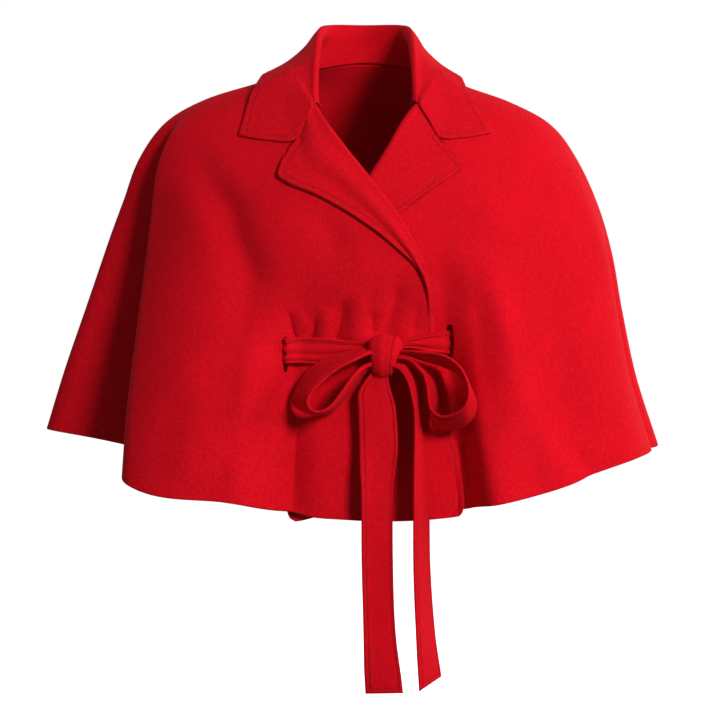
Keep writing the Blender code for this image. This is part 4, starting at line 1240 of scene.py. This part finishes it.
@dataclass
class Collar:
    """The collar: one folded piece with its stand inside and its fall outside.

    stations give the leaf edge's turn and level on the sheet and its lift, and the roll's
    highest line. The ends give its front end in the front view. fall_shape says how far down
    the fall its three middle points lie, and their share of the bulge.
    """

    stations: Table
    ends: dict[Side, Path]
    corners: dict[Side, tuple[float, float]]
    end_depths: tuple[float, ...] = (0.0088, 0.0063, 0.0008, -0.0037)
    roll: float = 0.0034
    below_seam: float = 0.02
    proud: tuple[float, float] = (0.6, 0.8)
    fall_shape: Table = ((0.33, 1.3), (0.62, 1.2), (0.86, 0.5))
    fall_from: int = 4
    notch: int = 6
    fall_rise: tuple[float, ...] = (0.0040, 0.0030, 0.0010, 0.0, 0.0)
    parts: tuple[int, ...] = (7, 7, 4, 4, 8, 8, 7, 6)
    steps: int = 15
    flat: tuple[float, float] = (0.50, 0.14)
    cut: float = 0.85

    def section(
        self, form: CapeForm, turn: float, level: float, lift: float, roll: Array, bulge: float
    ) -> Array:
        """One section across the collar: up the stand, over the roll and down the fall."""
        seam = form.raised(turn, 0.0, 0.0)
        below = form.raised(turn, self.below_seam, 0.0)
        foot = seam + unit(seam - below) * (0.5 * CLOTH + 2 * SEAM_GAP)
        leaf = form.raised(turn, level, lift)
        out = leaf - roll
        out[2] = 0.0
        out = unit(out)
        inner = roll - out * self.roll
        inner[2] -= self.roll
        outer = roll + out * self.roll
        outer[2] -= self.roll
        fall = leaf - outer
        aside, up = self.proud
        proud = np.array([out[0] * aside, out[1] * aside, up]) * bulge
        bulging = [outer + down * fall + share * proud for down, share in self.fall_shape]
        return np.array([foot, 0.5 * (foot + inner), inner, roll, outer, *bulging, leaf])

    def end(self, form: CapeForm, side: Side, layer: Layer) -> Array:
        """The collar's front end, lying on the front beside the lapel."""
        rows = np.array(self.ends[side])
        corner_x, corner_z = self.corners[side]
        corner = form.on_layer(layer, corner_x, corner_z, 0.0)
        points = form.on_layer(layer, rows[:, 0], np.minimum(rows[:, 1], corner_z), FOLDED_LIFT)
        free = len(self.end_depths)
        points[:free, 0] = rows[:free, 0]
        points[:free, 1] = corner[1] + np.array(self.end_depths)
        points[:free, 2] = rows[:free, 1]
        return points

    def fine(self, section: Array) -> Array:
        """A section's points read closer together, by the length along it."""
        knots = reach_along(section)
        at = [np.linspace(knots[k], knots[k + 1], n, endpoint=False) for k, n in enumerate(self.parts)]
        return smooth_through(knots, section, np.concatenate(at + [knots[-1:]]))

    def build(self, room: Workroom, form: CapeForm) -> None:
        """Build the collar and its topstitching."""
        layers = {Side.LEFT: form.over_front, Side.RIGHT: form.under_front}
        line = []
        for side, order in ((Side.LEFT, 1), (Side.RIGHT, -1)):
            rows = self.stations if side is Side.LEFT else self.stations[:-1]
            half = [self.end(form, side, layers[side])]
            for turn, level, lift, roll_x, roll_y, roll_z, bulge in rows:
                around = side.value * math.radians(turn)
                roll = np.array([side.value * roll_x, roll_y, roll_z])
                half.append(self.section(form, around, level, lift, roll, bulge))
            line.extend(half[::order])
        sections = np.array([self.fine(section) for section in line])
        count = len(sections)
        at = np.linspace(0, count - 1, (count - 1) * self.steps + 1)
        points = smooth_through(np.arange(count), sections, at)
        columns = np.cumsum((0,) + self.parts)
        fall = columns[self.fall_from]
        lifts = np.interp(np.arange(fall, columns[-1] + 1), columns[self.fall_from:], self.fall_rise)
        lifts = lifts + FOLDED_LIFT
        ends = 2 * self.steps
        fade = ease((ends - np.arange(ends)) / (ends - self.steps + 1.0))[:, None, None]
        for rows, layer, share in (
            (slice(None, ends), form.over_front, fade),
            (slice(-ends, None), form.under_front, fade[::-1]),
        ):
            near = points[rows, fall:]
            points[rows, fall:] = near + (form.keep_off(near, layer, lifts) - near) * share
        stitched = np.zeros(points.shape[:2], dtype=bool)
        stitched[:, -1] = True
        stitched[[0, -1], columns[self.notch]:] = True
        wall = Wall(points, 0.5 * FOLDED, stitched)
        piece = room.place("collar", wall.mesh("collar"), Slot.FOLDED)
        stitches = room.sew("collar", [wall.topstitch(FOLDED_SETBACK)])


@dataclass
class Knot:
    """The knot: the belt wrapped once over the front, a barrel that narrows downwards.

    Round the barrel, turn goes over the top to the front and down. Across it, side runs from
    -90 to 90 degrees: x is the half width times the sine of side to the power across_power,
    and the girth the cosine to the power girth_power. Ridges run round it as a wave of height,
    turns and start, with one crease of depth, place and width.
    """

    place: tuple[float, float] = (0.0203, -0.2895)
    lift: float = 0.0170
    half: tuple[float, float, float] = (0.0156, 0.0138, 0.0238)
    across_power: float = 0.85
    girth_power: float = 0.42
    fade_power: float = 0.3
    narrowing: tuple[float, float] = (0.20, 0.10)
    twist: float = 0.16
    slant: float = 0.0012
    wave: tuple[float, float, float] = (0.022, 1.15, 0.8)
    crease: tuple[float, float, float] = (0.060, 0.55, 0.080)
    sides: int = 64
    steps: int = 120

    def points(self) -> Array:
        """Rows of points round the barrel, about its centre. The last row is the first again."""
        half_width, half_depth, half_height = self.half
        side = np.linspace(-0.5 * math.pi, 0.5 * math.pi, self.sides + 2)[1:-1]
        side, turn = np.meshgrid(side, np.linspace(0.0, 2 * math.pi, self.steps + 1))
        up = np.cos(turn)
        across = np.sign(np.sin(side)) * np.abs(np.sin(side)) ** self.across_power
        place = across + self.twist * np.sin(turn)
        height, turns, start = self.wave
        depth, at, width = self.crease
        ridges = height * np.cos(2 * math.pi * turns * place + start)
        ridges = ridges - depth * np.exp(-(((place - at) / width) ** 2))
        girth = np.cos(side) ** self.girth_power * (1.0 + ridges * np.cos(side) ** self.fade_power)
        narrower, shallower = self.narrowing
        x = half_width * (1.0 + narrower * up) * across
        y = -half_depth * (1.0 + shallower * up) * girth * np.sin(turn)
        return np.stack([x + self.slant * up, y, half_height * girth * up], axis=-1)

    def mesh(self, form: CapeForm) -> bpy.types.Mesh:
        """The barrel's closed mesh, in its place on the front."""
        points = self.points() + form.on_layer(form.over_front, *self.place, self.lift)
        rows, columns = points.shape[:2]
        count = (rows - 1) * columns
        index = np.arange(rows * columns).reshape(rows, columns)
        index[-1] = index[0]
        quads = np.stack([index[:-1, :-1], index[:-1, 1:], index[1:, 1:], index[1:, :-1]], axis=-1)
        first = np.stack([np.full(rows - 1, count), index[:-1, 0], index[1:, 0]], axis=-1)
        last = np.stack([np.full(rows - 1, count + 1), index[1:, -1], index[:-1, -1]], axis=-1)
        caps = points[:, [0, -1]].mean(axis=0)
        flat = np.concatenate([points[:-1].reshape(-1, 3), caps])
        made = bpy.data.meshes.new("belt_knot")
        faces = quads.reshape(-1, 4).tolist() + first.tolist() + last.tolist()
        made.from_pydata(flat.tolist(), [], faces)
        lay_out(made, flat[:, [0, 2, 1]], np.full(len(flat), FAR))
        return finished(made)


@dataclass
class Belt:
    """The self-cloth belt: two bands out of the slits, a bow with two loops and two tails."""

    band_left: Table
    band_right: Table
    loop_left: Table
    loop_right: Table
    tail_left: Table
    tail_right: Table
    full: float = 0.041
    steps: int = 12
    hang_from: float = -0.445
    shares: tuple[float, ...] = (
        0.0, 0.045, 0.075, 0.098, 0.112, 0.126, 0.150, 0.19, 0.25, 0.32, 0.39, 0.46,
    )
    squeezed_by: float = 0.6
    wave_start: float = 0.6
    wave_fade: float = 0.4
    puff: float = 0.0005
    puff_in: float = 0.05
    groove: float = 0.00045
    groove_width: float = 0.022
    full_above: float = 0.6
    thinnest: float = 0.75
    waist_turns: tuple[float, ...] = (-62.0, -90.0, -118.0, -150.0, -180.0, -210.0, -242.0, -270.0, -298.0)
    waist: tuple[float, float, float, float] = (0.136, 0.130, 0.100, 0.030)
    waist_steps: int = 150
    inner_cut: tuple[float, float] = (0.68, 0.75)

    def columns(self) -> Array:
        """Shares across the belt, close together at its two rows of stitching."""
        half = np.array(self.shares)
        return np.concatenate([half, 1.0 - half[::-1]])

    def read(self, table: Table) -> Array:
        """A table's columns, read smoothly between its rows."""
        count = len(table)
        at = np.linspace(0, count - 1, (count - 1) * self.steps + 1)
        return smooth_through(np.arange(count), np.array(table), at).T

    def apron(self, form: CapeForm, x: Array, z: Array, lift: Array) -> Array:
        """Points before the belted part of the front, carried on evenly to both sides."""
        heights = form.columns["z_front"]
        place = np.linspace(0.0, 1.0, len(heights))
        level = smooth_through(-heights, place, -np.maximum(z, self.hang_from))
        side = x / form.ring("right", level)
        depth = form.ring("centre", level) * np.sqrt(1.0 - side ** 2)
        return np.stack([x, -(depth + OVERLAP_LIFT + lift), z], axis=-1)

    def flat_run(self, form: CapeForm, table: Table, lying: bool) -> Array:
        """Rows of points of a run that lies on the front or hangs before it."""
        x, z, lift, across_x, across_y, across_z, width = self.read(table)
        bare = copy.copy(form)
        bare.pressed = None
        line = bare.on_layer(bare.over_front, x, z, lift) if lying else self.apron(form, x, z, lift)
        across = unit(np.stack([across_x, across_y, across_z], axis=-1))
        return line[:, None] + across[:, None] * (width[:, None] * (self.columns() - 0.5))[..., None]

    def loop_run(self, form: CapeForm, table: Table) -> Array:
        """Rows of points of a loop, from its edge nearest the viewer to its far edge."""
        x, z, lift, shift_x, shift_z, width = self.read(table)
        far = self.apron(form, x + shift_x, z + shift_z, lift)
        deep = np.sqrt(width ** 2 - shift_x ** 2 - shift_z ** 2)
        near = np.stack([x, far[:, 1] - deep, z], axis=-1)
        return near[:, None] + (far - near)[:, None] * self.columns()[None, :, None]

    def gathered(self, points: Array, ridges: float, amount: float, lasting: float = 0.0) -> Array:
        """Lengthwise folds: a wave across the belt, deeper where it is squeezed narrow.

        The wave is the cosine of ridges turns across the belt, and its height is amount times
        the share of the full width that is lost there, and at least the lasting share.
        """
        width = np.linalg.norm(points[:, -1] - points[:, 0], axis=-1)
        squeezed = np.maximum(ease((1.0 - width / self.full) / self.squeezed_by), lasting)
        share = self.columns()
        wave = np.cos(2 * math.pi * ridges * share + self.wave_start)
        wave = wave * np.sin(math.pi * share) ** self.wave_fade
        return points + grid_normals(points) * (amount * squeezed[:, None] * wave)[..., None]

    def half(self, points: Array) -> Array:
        """Half thickness over a run: puffed between its rows of stitching, pressed in on them."""
        width = np.linalg.norm(points[:, -1] - points[:, 0], axis=-1)[:, None]
        share = self.columns()
        inward = np.minimum(share, 1 - share)
        line = BELT_SETBACK / self.full
        pressed = np.exp(-(((inward - line) / self.groove_width) ** 2))
        puffed = self.puff * (1 - pressed) * ease(inward / self.puff_in)
        thick = 0.5 * BELT + puffed - self.groove * pressed
        return thick * np.clip(width / (self.full_above * self.full), self.thinnest, 1.0)

    def run(self, room: Workroom, node: str, points: Array,
            ended: bool = False) -> None:
        """Build one run of the belt with its rows of stitching.

        Args:
            room: the workroom.
            node: the CAD node it stands for.
            points: its rows of points.
            ended: whether its last row is a sewn end of the belt.
        """
        stitched = np.zeros(points.shape[:2], dtype=bool)
        stitched[:, [0, -1]] = True
        stitched[-1] = ended
        wall = Wall(points, self.half(points), stitched)
        piece = room.place(node, wall.mesh(node), Slot.BELT)
        place = BELT_SETBACK / self.full
        columns = self.columns()
        first, last = (int(np.argmin(np.abs(columns - at))) for at in (place, 1 - place))
        rows = [(slice(2, -2), first), (slice(2, -2), last)]
        if ended:
            from_end = reach_along(points[::-1, len(columns) // 2])
            row = len(points) - 1 - int(np.argmin(np.abs(from_end - BELT_SETBACK)))
            rows.append((row, slice(first, last + 1)))
        lines = []
        for at in rows:
            for way in (1.0, -1.0):
                lift = wall.normals[at] * (way * wall.half[at][:, None])
                lines.append((points[at] + lift, wall.normals[at] * way))
        stitches = room.sew(node, lines)

    def inner(self, room: Workroom, bands: tuple[Array, Array]) -> None:
        """The belt's hidden run: on from the ends of both bands, inside round the waist."""
        ends = []
        for band in bands:
            rows = band[:, [0, len(self.columns()) // 2, -1]]
            way = unit(rows[-1] - rows[-2])
            ends.append(rows[-1] + way * SEAM_GAP)
        half_width, front, back, width = self.waist
        turn = np.radians(self.waist_turns)
        ahead = np.cos(turn)
        x = half_width * np.sin(turn)
        y = -np.where(ahead > 0, front, back) * ahead
        z = np.linspace(ends[0][:, 2].mean(), ends[1][:, 2].mean(), len(turn))
        line = np.stack([x, y, z], axis=-1)
        share = np.linspace(-0.5, 0.5, 3) * width
        waist = line[:, None] + share[:, None] * np.array([0.0, 0.0, 1.0])
        rows = np.concatenate([[ends[0]], waist, [ends[1]]])
        knots = reach_along(rows.mean(axis=1))
        three = smooth_through(knots, rows, np.linspace(0.0, knots[-1], self.waist_steps))
        points = smooth_through(np.linspace(0.0, 1.0, 3), three.transpose(1, 0, 2), self.columns())
        points = points.transpose(1, 0, 2)
        wall = Wall(points, self.half(points))
        piece = room.place("belt_inner", wall.mesh("belt_inner"), Slot.BELT)

    def build(self, room: Workroom, form: CapeForm) -> None:
        """Build every run, the knot and the hidden run."""
        bands = (self.flat_run(form, self.band_left, True), self.flat_run(form, self.band_right, True))
        loops = (self.loop_run(form, self.loop_left), self.loop_run(form, self.loop_right))
        tails = (self.flat_run(form, self.tail_left, False), self.flat_run(form, self.tail_right, False))
        self.run(room, "belt_band_right", self.gathered(bands[0], 2.5, 0.0016, 0.7))
        self.run(room, "belt_band_left", self.gathered(bands[1], 2.0, 0.0012, 0.5))
        self.run(room, "belt_loop_right", self.gathered(loops[0], 1.5, 0.0012))
        self.run(room, "belt_loop_left", self.gathered(loops[1], 1.5, 0.0012))
        room.place("belt_knot", Knot().mesh(form), Slot.BELT)
        self.run(room, "belt_tail_right", self.gathered(tails[0], 1.5, 0.0014), True)
        self.run(room, "belt_tail_left", self.gathered(tails[1], 1.5, 0.0014), True)
        self.inner(room, bands)


@dataclass
class Studio:
    """The pale floor, the soft lights and the camera at the photograph's place."""

    camera_place: tuple[float, float, float] = (-0.00565, -3.5, -0.2938)
    frame_width: float = 0.8136
    sensor: float = 36.0
    floor_z: float = -0.76
    floor_radius: float = 30.0
    floor_glow: float = 0.95
    floor_tones: tuple[Colour, Colour] = ((0.90, 0.90, 0.90, 1.0), (0.94, 0.94, 0.94, 1.0))
    surround: float = 0.11
    aim: tuple[float, float, float] = (0.0, 0.0, -0.28)

    def floor(self) -> None:
        """A flat pale floor, a disc of rings that reaches out of every view."""
        turn = np.linspace(0.0, 2 * math.pi, 64, endpoint=False)
        radius = np.linspace(0.0, 1.0, 7)[1:] ** 2 * self.floor_radius
        ring = np.stack([np.cos(turn), np.sin(turn)], axis=-1)
        flat = (radius[:, None, None] * ring).reshape(-1, 2)
        points = np.concatenate([[[0.0, 0.0]], flat])
        points = np.column_stack([points, np.full(len(points), self.floor_z)])
        index = np.arange(len(flat)).reshape(len(radius), -1) + 1
        after = np.roll(index, -1, axis=1)
        quads = np.stack([index[:-1], index[1:], after[1:], after[:-1]], axis=-1).reshape(-1, 4)
        middle = np.stack([np.zeros(len(turn), dtype=int), index[0], after[0]], axis=-1)
        mesh = bpy.data.meshes.new("floor")
        mesh.from_pydata(points.tolist(), [], quads.tolist() + middle.tolist())
        pale = bpy.data.materials.new("pale floor")
        pale.use_nodes = True
        surface = pale.node_tree.nodes["Principled BSDF"]
        surface.inputs["Roughness"].default_value = 0.9
        surface.inputs["Specular IOR Level"].default_value = 0.1
        surface.inputs["Emission Color"].default_value = WHITE
        surface.inputs["Emission Strength"].default_value = self.floor_glow
        grain = add_node(pale.node_tree, "ShaderNodeTexNoise", None, Scale=3.0, Detail=2.0)
        place = add_node(pale.node_tree, "ShaderNodeTexCoord")
        pale.node_tree.links.new(place.outputs["Object"], grain.inputs["Vector"])
        tone = add_mix(pale.node_tree, grain.outputs[0], *self.floor_tones)
        pale.node_tree.links.new(tone, surface.inputs["Base Color"])
        floor = add_object("floor", finished(mesh), pale)
        floor.visible_diffuse = False

    def lamp(self, name: str, place: tuple[float, float, float], size: float, power: float) -> None:
        """A square soft light, facing the middle of the cape."""
        data = bpy.data.lights.new(name, "AREA")
        data.shape = "SQUARE"
        data.size = size
        data.energy = power
        made = bpy.data.objects.new(name, data)
        bpy.context.scene.collection.objects.link(made)
        aim = np.array(self.aim) - np.array(place)
        pitch = math.atan2(math.hypot(aim[0], aim[1]), -aim[2])
        made.location = place
        made.rotation_euler = (pitch, 0.0, math.atan2(-aim[0], aim[1]))

    def light(self) -> None:
        """A key light from the viewer's right, fills, and a white surround."""
        for name, place, size, power in LAMPS:
            self.lamp(name, place, size, power)
        world = bpy.data.worlds.new("studio")
        bpy.context.scene.world = world
        world.use_nodes = True
        tree = world.node_tree
        seen = tree.nodes["Background"]
        seen.inputs["Color"].default_value = WHITE
        seen.inputs["Strength"].default_value = 1.0
        lit = add_node(tree, "ShaderNodeBackground", None, Color=WHITE, Strength=self.surround)
        ray = add_node(tree, "ShaderNodeLightPath")
        mix = add_node(tree, "ShaderNodeMixShader")
        tree.links.new(ray.outputs["Is Camera Ray"], mix.inputs[0])
        tree.links.new(lit.outputs[0], mix.inputs[1])
        tree.links.new(seen.outputs[0], mix.inputs[2])
        tree.links.new(mix.outputs[0], tree.nodes["World Output"].inputs["Surface"])
        bpy.context.scene.view_settings.view_transform = "Standard"

    def camera(self) -> None:
        """The camera at the photograph's viewing angle, set so that its frame fits."""
        data = bpy.data.cameras.new("camera")
        data.sensor_width = self.sensor
        data.lens = self.sensor * -self.camera_place[1] / self.frame_width
        made = bpy.data.objects.new("camera", data)
        bpy.context.scene.collection.objects.link(made)
        made.location = self.camera_place
        made.rotation_euler = (0.5 * math.pi, 0.0, 0.0)
        bpy.context.scene.camera = made

    def build(self) -> None:
        """Set up the studio."""
        self.floor()
        self.light()
        self.camera()


# Lights: name, place, size and power
LAMPS = (
    ("key", (1.70, -2.90, 0.95), 0.9, 108.0),
    ("side", (3.3, -0.9, 0.6), 1.2, 40.0),
    ("fill", (-3.2, -1.9, 0.3), 1.4, 6.0),
    ("top", (0.3, 0.4, 2.6), 1.8, 14.0),
    ("back right", (2.6, 2.4, 0.9), 1.2, 48.0),
    ("back left", (-2.4, 2.8, 1.2), 1.6, 26.0),
)

# Front edges in the front view, from the neck corner to the hem: x, z
OVER_EDGE = (
    (-0.0565, -0.0098),
    (-0.0450, -0.0290),
    (-0.0250, -0.0570),
    (0.0044, -0.0945),
    (0.0330, -0.1320),
    (0.0570, -0.1730),
    (0.0720, -0.2180),
    (0.0745, -0.2500),
    (0.0780, -0.2800),
    (0.0880, -0.3300),
    (0.1030, -0.4130),
    (0.1090, -0.4605),
)
UNDER_EDGE = (
    (0.0570, -0.0098),
    (0.0430, -0.0290),
    (0.0280, -0.0560),
    (0.0044, -0.0945),
    (-0.0200, -0.1330),
    (-0.0430, -0.1740),
    (-0.0550, -0.2180),
    (-0.0570, -0.2500),
    (-0.0600, -0.2800),
    (-0.0680, -0.3300),
    (-0.0820, -0.4130),
    (-0.0880, -0.4680),
)

# Belt slits: x, top and bottom in the front view, and their width
OVER_SLIT = (-0.0870, -0.2690, -0.3070, 0.0052)
UNDER_SLIT = (0.0922, -0.2555, -0.2925, 0.0088)

# Outer edges of the lapels, from the notch round the tip to the break: x, z
OVER_LAPEL = (
    (-0.0750, -0.0535),
    (-0.0940, -0.0820),
    (-0.0962, -0.0925),
    (-0.0880, -0.0990),
    (-0.0540, -0.1140),
    (-0.0090, -0.1400),
    (0.0330, -0.1720),
    (0.0640, -0.2060),
    (0.0690, -0.2440),
)
UNDER_LAPEL = (
    (0.0800, -0.0505),
    (0.1030, -0.0770),
    (0.1065, -0.0850),
    (0.1000, -0.0900),
    (0.0700, -0.1110),
    (0.0350, -0.1370),
    (0.0020, -0.1620),
    (-0.0250, -0.1880),
    (-0.0400, -0.2130),
)

# Collar: turn, level and lift of the leaf edge, x, y, z of the roll, and how far the fall bulges
COLLAR_STATIONS = (
    (63.0, 0.150, 0.0062, 0.0562, -0.052, 0.026, 0.0016),
    (76.0, 0.105, 0.0075, 0.0545, -0.018, 0.057, -0.0022),
    (92.0, 0.080, 0.0080, 0.0515, 0.020, 0.081, -0.0042),
    (124.0, 0.092, 0.0080, 0.0400, 0.052, 0.089, -0.0020),
    (180.0, 0.125, 0.0070, 0.0000, 0.072, 0.091, 0.0010),
)
# Its front ends in the front view: seam, stand, roll in, roll, roll out, gorge, notch, edge, tip
COLLAR_LEFT_END = (
    (-0.0485, -0.0140),
    (-0.0502, -0.0118),
    (-0.0524, -0.0100),
    (-0.0552, -0.0098),
    (-0.0577, -0.0190),
    (-0.0652, -0.0332),
    (-0.0758, -0.0522),
    (-0.1080, -0.0520),
    (-0.1400, -0.0463),
)
COLLAR_RIGHT_END = (
    (0.0495, -0.0130),
    (0.0510, -0.0106),
    (0.0532, -0.0088),
    (0.0562, -0.0086),
    (0.0598, -0.0168),
    (0.0686, -0.0302),
    (0.0808, -0.0490),
    (0.1100, -0.0488),
    (0.1400, -0.0430),
)

# Belt runs: x, z and lift of the middle line, the direction across the belt, and its width
BAND_LEFT = (
    (0.0160, -0.2815, 0.0110, 0.10, 0.00, 1.00, 0.008),
    (0.0020, -0.2812, 0.0070, 0.05, -0.05, 1.00, 0.012),
    (-0.0184, -0.2828, 0.0052, 0.00, -0.14, 1.00, 0.020),
    (-0.0455, -0.2842, 0.0044, 0.00, -0.15, 1.00, 0.029),
    (-0.0700, -0.2832, 0.0046, 0.00, -0.12, 1.00, 0.029),
    (-0.0840, -0.2838, 0.0046, 0.00, -0.12, 1.00, 0.028),
    (-0.0868, -0.2838, 0.0022, 0.00, -0.12, 1.00, 0.028),
    (-0.0870, -0.2838, -0.0012, 0.00, -0.12, 1.00, 0.028),
    (-0.0886, -0.2838, -0.0040, 0.00, -0.12, 1.00, 0.028),
)
BAND_RIGHT = (
    (0.0250, -0.2800, 0.0110, -0.10, 0.00, 1.00, 0.008),
    (0.0390, -0.2775, 0.0070, -0.10, -0.05, 1.00, 0.009),
    (0.0480, -0.2755, 0.0055, -0.10, -0.15, 1.00, 0.011),
    (0.0680, -0.2749, 0.0050, -0.05, -0.17, 1.00, 0.020),
    (0.0790, -0.2746, 0.0045, 0.00, -0.17, 1.00, 0.023),
    (0.0856, -0.2744, 0.0030, 0.00, -0.17, 1.00, 0.025),
    (0.0878, -0.2744, -0.0010, 0.00, -0.17, 1.00, 0.026),
    (0.0886, -0.2744, -0.0062, 0.00, -0.17, 1.00, 0.026),
    (0.0923, -0.2744, -0.0102, 0.00, -0.17, 1.00, 0.026),
)
# Loops: x and z of the near edge, lift of the far edge, its shift in x and z, and the width
LOOP_LEFT = (
    (0.0140, -0.2850, 0.0105, -0.0020, 0.0030, 0.014),
    (0.0010, -0.2880, 0.0105, -0.0030, 0.0060, 0.022),
    (-0.0130, -0.2950, 0.0105, -0.0055, 0.0095, 0.030),
    (-0.0280, -0.3030, 0.0095, -0.0110, 0.0125, 0.036),
    (-0.0435, -0.3145, 0.0100, -0.0150, 0.0120, 0.040),
    (-0.0570, -0.3285, 0.0120, -0.0170, 0.0045, 0.040),
    (-0.0615, -0.3390, 0.0130, -0.0170, 0.0010, 0.040),
    (-0.0575, -0.3470, 0.0120, -0.0120, -0.0005, 0.040),
    (-0.0485, -0.3495, 0.0100, -0.0055, -0.0030, 0.040),
    (-0.0370, -0.3430, 0.0085, 0.0010, -0.0060, 0.040),
    (-0.0250, -0.3275, 0.0090, 0.0045, -0.0055, 0.038),
    (-0.0130, -0.3110, 0.0100, 0.0055, -0.0045, 0.032),
    (-0.0010, -0.3005, 0.0105, 0.0045, -0.0030, 0.022),
    (0.0120, -0.2960, 0.0105, 0.0030, -0.0020, 0.014),
)
LOOP_RIGHT = (
    (0.0315, -0.2840, 0.0105, 0.0010, -0.0010, 0.012),
    (0.0445, -0.2845, 0.0105, 0.0020, -0.0030, 0.018),
    (0.0575, -0.2850, 0.0105, 0.0045, -0.0080, 0.028),
    (0.0725, -0.2860, 0.0110, 0.0055, -0.0120, 0.034),
    (0.0885, -0.2910, 0.0170, 0.0055, -0.0135, 0.038),
    (0.1015, -0.3020, 0.0270, 0.0065, -0.0135, 0.040),
    (0.1090, -0.3175, 0.0360, 0.0075, -0.0140, 0.040),
    (0.1100, -0.3325, 0.0390, 0.0090, -0.0130, 0.040),
    (0.1045, -0.3445, 0.0350, 0.0090, -0.0145, 0.040),
    (0.0940, -0.3515, 0.0250, 0.0075, -0.0155, 0.040),
    (0.0825, -0.3540, 0.0150, 0.0050, -0.0170, 0.040),
    (0.0735, -0.3495, 0.0110, 0.0020, -0.0170, 0.040),
    (0.0685, -0.3405, 0.0100, 0.0050, -0.0130, 0.040),
    (0.0670, -0.3275, 0.0100, 0.0110, -0.0095, 0.040),
    (0.0635, -0.3115, 0.0100, 0.0115, -0.0070, 0.038),
    (0.0540, -0.2990, 0.0100, 0.0075, -0.0045, 0.030),
    (0.0450, -0.2925, 0.0105, 0.0040, -0.0020, 0.018),
    (0.0315, -0.2905, 0.0105, 0.0030, -0.0010, 0.012),
)
TAIL_LEFT = (
    (0.0180, -0.3020, 0.0170, 1.00, 0.00, 0.00, 0.014),
    (0.0125, -0.3160, 0.0165, 1.00, 0.00, 0.00, 0.026),
    (0.0105, -0.3305, 0.0165, 1.00, 0.05, 0.00, 0.037),
    (0.0130, -0.3480, 0.0165, 1.00, 0.10, 0.00, 0.041),
    (0.0146, -0.3866, 0.0165, 1.00, 0.10, 0.00, 0.042),
    (0.0130, -0.4340, 0.0170, 0.85, 0.52, 0.00, 0.041),
    (0.0130, -0.5100, 0.0170, 0.82, 0.57, 0.00, 0.041),
    (0.0156, -0.5916, 0.0170, 0.85, 0.52, 0.00, 0.041),
    (0.0205, -0.6530, 0.0170, 0.99, 0.10, 0.00, 0.041),
)
TAIL_RIGHT = (
    (0.0270, -0.2985, 0.0230, 0.60, 0.75, 0.20, 0.012),
    (0.0410, -0.3020, 0.0250, 0.50, 0.80, 0.25, 0.018),
    (0.0505, -0.3130, 0.0255, 0.40, 0.88, 0.20, 0.028),
    (0.0555, -0.3310, 0.0250, 0.28, 0.94, 0.10, 0.038),
    (0.0572, -0.3600, 0.0240, 0.18, 0.98, 0.00, 0.041),
    (0.0600, -0.4350, 0.0240, 0.38, 0.92, 0.00, 0.041),
    (0.0610, -0.5200, 0.0240, 0.43, 0.90, 0.00, 0.041),
    (0.0650, -0.5900, 0.0240, 0.50, 0.87, 0.00, 0.041),
    (0.0700, -0.6420, 0.0240, 0.58, 0.75, 0.30, 0.041),
)


def main() -> None:
    """Build the cape piece by piece, then the studio."""
    logging.basicConfig(level=logging.INFO, format="%(name)s: %(message)s")
    Studio().build()
    form = CapeForm()
    room = Workroom()
    over = form.over_front
    under = form.under_front
    right = Front(
        "front_right", Side.LEFT, OVER_EDGE, SEAM_LEFT, OVER_SLIT, break_z=-0.235, flat=(0.62, 0.56)
    )
    left = Front("front_left", Side.RIGHT, UNDER_EDGE, SEAM_RIGHT, UNDER_SLIT, break_z=-0.205)
    right.build(room, form, over)
    left.build(room, form, under)
    Back(SEAM_LEFT, SEAM_RIGHT).build(room, form)
    right = Lapel("lapel_right", Side.LEFT, OVER_EDGE, OVER_LAPEL, top=-0.0118, bulge=0.003)
    left = Lapel("lapel_left", Side.RIGHT, UNDER_EDGE, UNDER_LAPEL, top=-0.0106, bulge=0.0)
    right.build(room, form, over)
    left.build(room, form, under)
    Collar(
        COLLAR_STATIONS,
        {Side.LEFT: COLLAR_LEFT_END, Side.RIGHT: COLLAR_RIGHT_END},
        {Side.LEFT: OVER_EDGE[0], Side.RIGHT: UNDER_EDGE[0]},
    ).build(room, form)
    Belt(BAND_LEFT, BAND_RIGHT, LOOP_LEFT, LOOP_RIGHT, TAIL_LEFT, TAIL_RIGHT).build(room, form)


if __name__ == "__main__":
    main()
